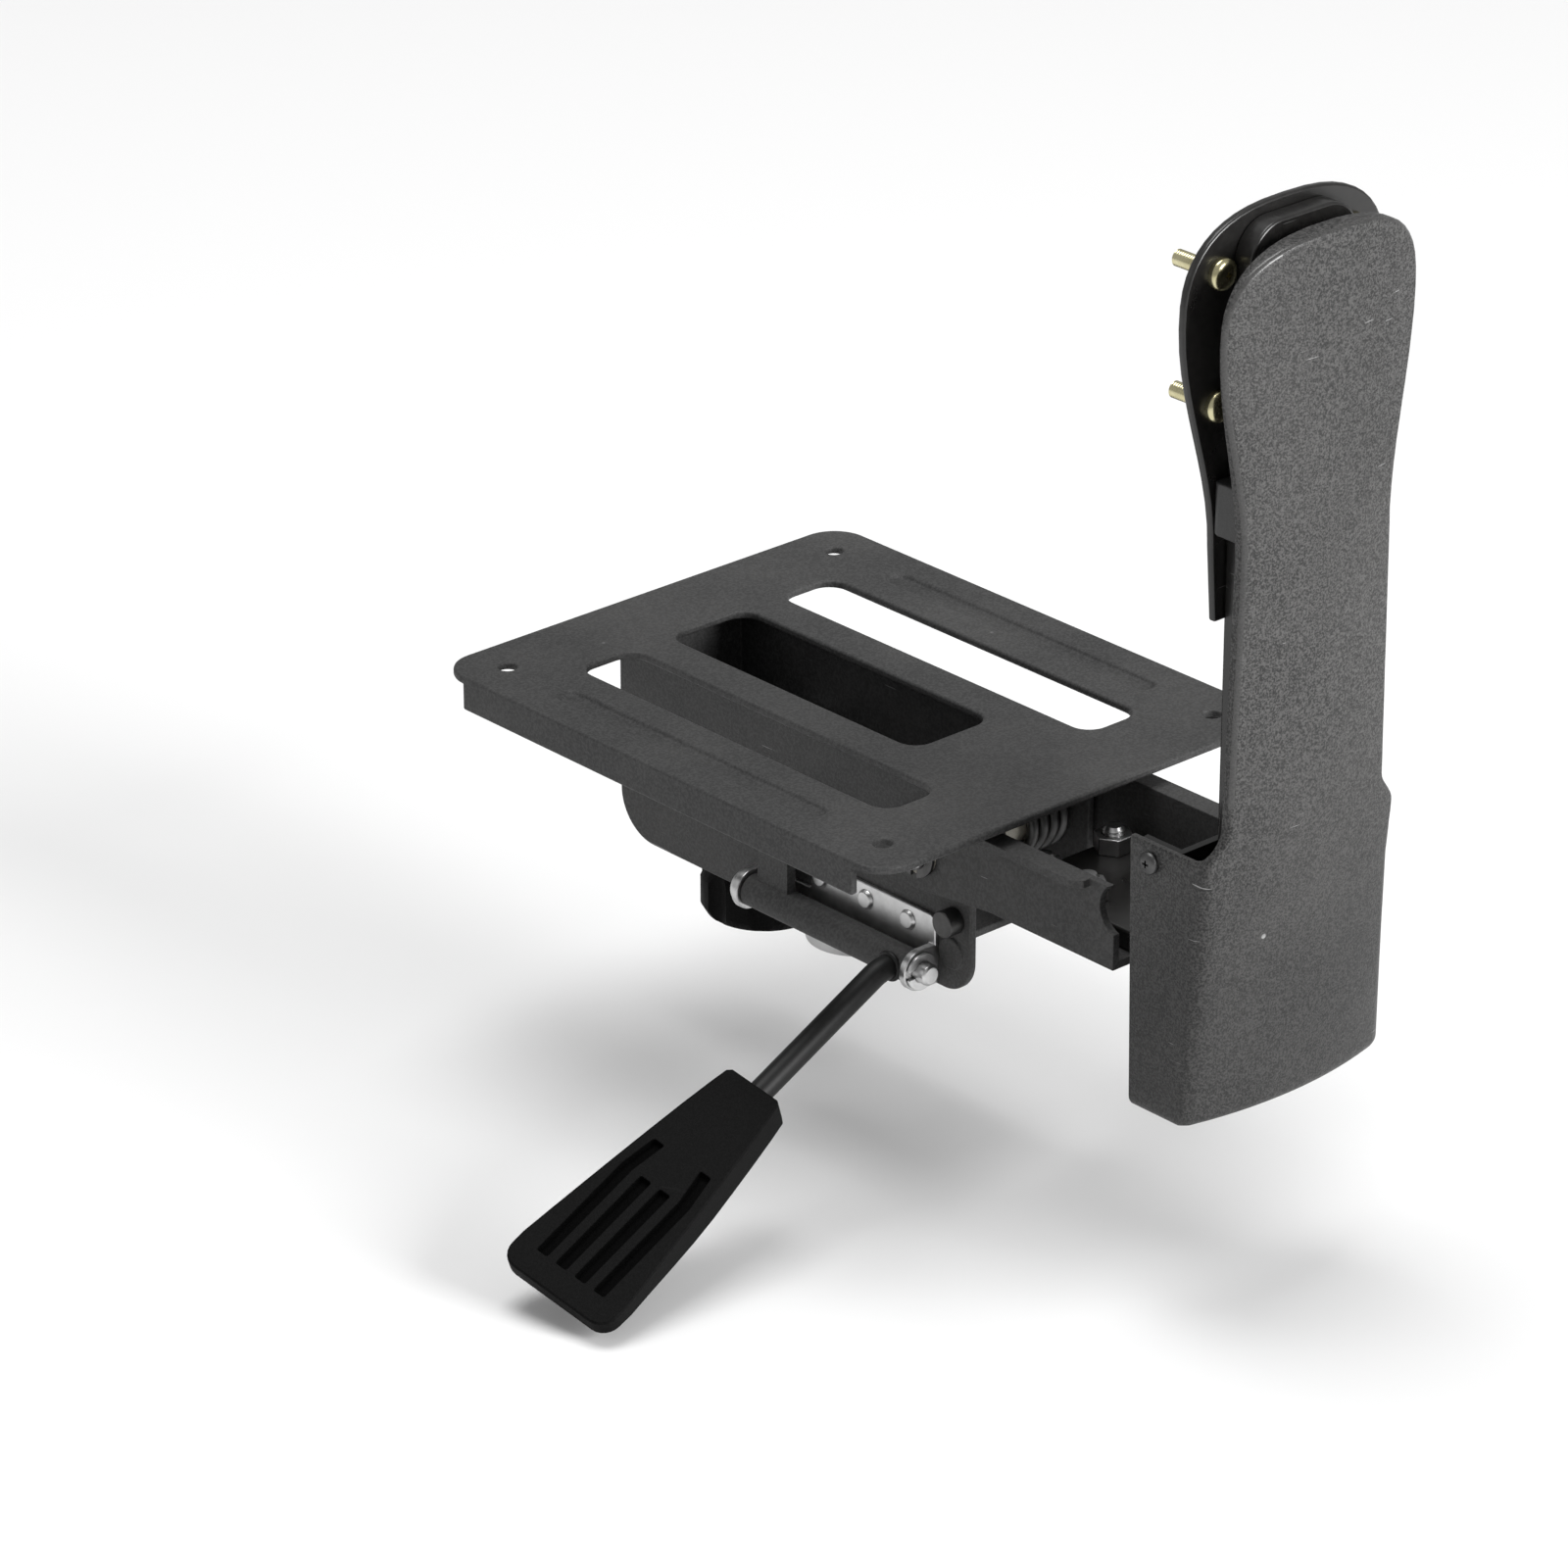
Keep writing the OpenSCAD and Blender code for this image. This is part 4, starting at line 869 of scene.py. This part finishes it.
def makeCoverScrews():
    s = smallSizes
    rows = [(s["inner"], s["tip"]), (s["inner"] + 1.5, s["shank"] * 0.86)]
    rows += threadRows(s["inner"] + 1.6, s["seat"] - 1, s["shank"] - 0.02, 0.8)
    rows += [(s["seat"] - 0.6, s["shank"] - 0.05), (s["seat"], s["shank"] - 0.05)]
    rows += [(s["seat"] + high, s["head"] * share) for high, share in s["dome"]]
    screw = turned(rows, 24)
    crossRecess(screw, s["seat"] + 2, s["recess"], s["recessDeep"])
    smooth(screw, 40)
    screw.rotation_euler = (0, pi / 2, 0)
    settle(screw, "coverScrew")
    left = copyTo(screw, (0, s["y"] * mm, s["z"] * mm))
    screw.rotation_euler = (0, 0, pi)
    settle(screw, "coverScrew")
    right = copyTo(screw, (0, s["y"] * mm, s["z"] * mm))
    bpy.data.objects.remove(screw)
    return joined([left, right], "coverSideScrews")


stand(makeCoverScrews(), "cover_screws", darkZinc)

boltSizes = {"x": 17, "y": (115, 137), "seat": 59, "head": 7, "headHigh": 6.4, "shank": 4, "plain": 12, "top": 20.5}


def makeArmBolts():
    s = boltSizes
    dome = [(-s["headHigh"] * sin(radians(a)), s["head"] * cos(radians(a)) ** 0.8) for a in range(80, -1, -10)]
    shank = [(0.01, s["shank"] - 0.05), (s["plain"], s["shank"] - 0.05)]
    shank += threadRows(s["plain"] + 0.2, s["top"] - 0.6, s["shank"] - 0.03, 1.25)
    bolt = turned(dome + shank + [(s["top"], s["shank"] * 0.75)])
    smooth(bolt, 40)
    settle(bolt, "armBolt")
    copies = [copyTo(bolt, (x * mm, y * mm, s["seat"] * mm)) for x in (-s["x"], s["x"]) for y in s["y"]]
    bpy.data.objects.remove(bolt)
    return joined(copies, "armDomeBolts")


stand(makeArmBolts(), "arm_bolts", brightZinc)
print("screws and bolts modelled")


# pressed and turned steel: a merged copy of the node gets its soft edges

def copyOf(nodeName, name):
    piece = bpy.data.objects.new(name, nodes[nodeName].data.copy())
    bpy.context.scene.collection.objects.link(piece)
    openMesh(piece)
    tidyMesh(0.02)
    bpy.ops.mesh.dissolve_limited(angle_limit=radians(0.6))
    closeMesh()
    return piece


softLook = {"steps": 2, "angle": 40, "border": 0.15, "smallFlat": 60}


def onCurve(face):  # one facet of a bend or a round
    return any(radians(1) < edge.calc_face_angle(0) < radians(30) for edge in face.edges)


def borderFlats(piece, wide):  # narrow border round every flat side, soft edges then stay clean at the holes
    openMesh(piece)
    for axis in range(3):
        for way in (-1, 1):
            mesh = clearPick("FACE")
            flats = [face for face in mesh.faces if face.normal[axis] * way > 0.9999
                     and (face.calc_area() > softLook["smallFlat"] * mm * mm or not onCurve(face))]
            for face in flats:
                face.select_set(True)
            showPick(mesh)
            if flats:
                bpy.ops.mesh.inset(thickness=wide * mm, use_boundary=True, use_even_offset=True)
    closeMesh()


def softEdges(piece, width, bordered):
    if bordered:
        borderFlats(piece, width + softLook["border"])
    modify(piece, "BEVEL", width=width * mm, segments=softLook["steps"], limit_method="ANGLE",
           angle_limit=radians(softLook["angle"]), use_clamp_overlap=not bordered)
    smooth(piece, 35)
    evenShade(piece)


softSizes = {"gas_socket": 0.5, "main_shaft": 0.2, "shaft_rings": 0.2, "spring_sleeve": 0.4, "lever_pin": 0.3,
             "pin_clip": 0.2, "bracket_rivets": 0.3, "stop_pads": 0.8, "recline_stops": 0.5, "thrust_washer": 0.2,
             "tension_knob": 1.0, "knob_insert": 0.3, "tension_bolt": 0.4, "lever_tube": 0.4, "arm_bushes": 0.3,
             "cover_strap": 0.3}
flatSizes = {"housing": 0.55, "seat_plate": 0.8, "back_arm": 0.3, "back_bar": 0.9, "back_plate": 0.8,
             "lever_bracket": 0.4, "tension_bar": 0.8, "cover_clips": 0.6, "arm_nuts": 0.4}

barSizes = {"topFrom": 300, "topRise": 4}


def raiseTop(bar):  # the rounded top of the bar shows above the cover
    openMesh(bar)
    pickVerts(lambda p: p.z > barSizes["topFrom"] * mm)
    bpy.ops.transform.translate(value=(0, 0, barSizes["topRise"] * mm))
    closeMesh()


beadSizes = {"x": 80, "front": -70, "rear": 70, "half": 5.5, "floor": 4, "deep": 1.6, "sheet": 3, "top": 98, "round": 5,
             "endSlope": 3}


def beadTool(x, drop):  # long block with round ends and sloped flanks
    s = beadSizes
    low = s["top"] - s["deep"] - drop
    tool = addBlock(((x - s["half"]) * mm, s["front"] * mm, low * mm),
                    ((x + s["half"]) * mm, s["rear"] * mm, (low + s["deep"] + 1) * mm))
    openMesh(tool)
    pickEdges(lambda a, b: abs(a.z - b.z) > 1 * mm)
    bpy.ops.mesh.bevel(offset=s["round"] * mm, segments=6, affect="EDGES")
    pickVerts(lambda p: p.z < (low + 0.1) * mm)
    shorter = 1 - s["endSlope"] / (s["rear"] - s["front"])
    bpy.ops.transform.resize(value=(s["floor"] / s["half"], shorter, 1))
    closeMesh()
    return tool


def pressBeads(plate):  # stiffening beads in the rails, sunk above and standing out below
    for x in (-beadSizes["x"], beadSizes["x"]):
        carve(plate, beadTool(x, beadSizes["sheet"]), "UNION")
        carve(plate, beadTool(x, 0))


ownFinishes = {"cover_clips": clipPlastic, "cover_strap": rodBlack}  # duller than the rest of their slot


def makePressed():
    for nodeName, width in {**softSizes, **flatSizes}.items():
        parts = nodeName.split("_")
        piece = copyOf(nodeName, parts[0] + "".join(part.capitalize() for part in parts[1:]) + "Soft")
        if nodeName == "back_bar":
            raiseTop(piece)
        if nodeName == "seat_plate":
            pressBeads(piece)
        softEdges(piece, width, nodeName in flatSizes)
        stand(piece, nodeName, ownFinishes.get(nodeName, finishes[slotOf[nodeName]]))


makePressed()
print("pressed and turned steel softened")


# camera, light and floor

cameraSizes = {"place": (1.55141, 1.68379, 1.12826), "target": (0.03531, 0.0, 0.07172), "lens": 160.3, "sensor": 36}


def makeCamera():
    bpy.ops.object.select_all(action="DESELECT")
    bpy.ops.object.camera_add(location=cameraSizes["place"])
    camera = bpy.context.object
    way = Vector(cameraSizes["target"]) - Vector(cameraSizes["place"])
    camera.rotation_euler = way.to_track_quat("-Z", "Y").to_euler()
    camera.data.sensor_width = cameraSizes["sensor"]
    camera.data.lens = cameraSizes["lens"]
    camera.data.clip_end = 50
    bpy.context.scene.camera = camera


lightSizes = {"sky": 0.44, "aim": (0, 0.08, 0.1), "lamps": [  # place, size and power
    ((-1.1, 4.6, 1.7), 2.2, 265), ((0.2, -0.4, 3.6), 2.0, 76), ((2.2, -1.6, 1.2), 1.2, 2)]}


def makeLight():
    world = bpy.data.worlds.new("studio")
    world.use_nodes = True
    sky = world.node_tree.nodes["Background"]
    sky.inputs["Color"].default_value = grey(1)
    sky.inputs["Strength"].default_value = lightSizes["sky"]
    bpy.context.scene.world = world
    bpy.context.scene.view_settings.view_transform = "Standard"  # keeps the pale floor pale and black black
    for place, size, power in lightSizes["lamps"]:
        bpy.ops.object.light_add(type="AREA", location=place)
        lamp = bpy.context.object
        lamp.data.size = size
        lamp.data.energy = power
        way = Vector(lightSizes["aim"]) - Vector(place)
        lamp.rotation_euler = way.to_track_quat("-Z", "Y").to_euler()


floorSizes = {"wide": 16, "below": 2, "tone": 0.86, "rough": 0.8}


def makeFloor():
    s = floorSizes
    bpy.ops.object.select_all(action="DESELECT")
    bpy.ops.mesh.primitive_plane_add(size=s["wide"], location=(0, 0, cadBox[0][2] - s["below"] * mm))
    floor = settle(bpy.context.object, "studioFloor")
    material = bpy.data.materials.new("pale floor")
    material.use_nodes = True
    shader = material.node_tree.nodes["Principled BSDF"]
    shader.inputs["Base Color"].default_value = grey(s["tone"])
    shader.inputs["Roughness"].default_value = s["rough"]
    floor.data.materials.append(material)


makeCamera()
makeLight()
makeFloor()
print("studio ready")
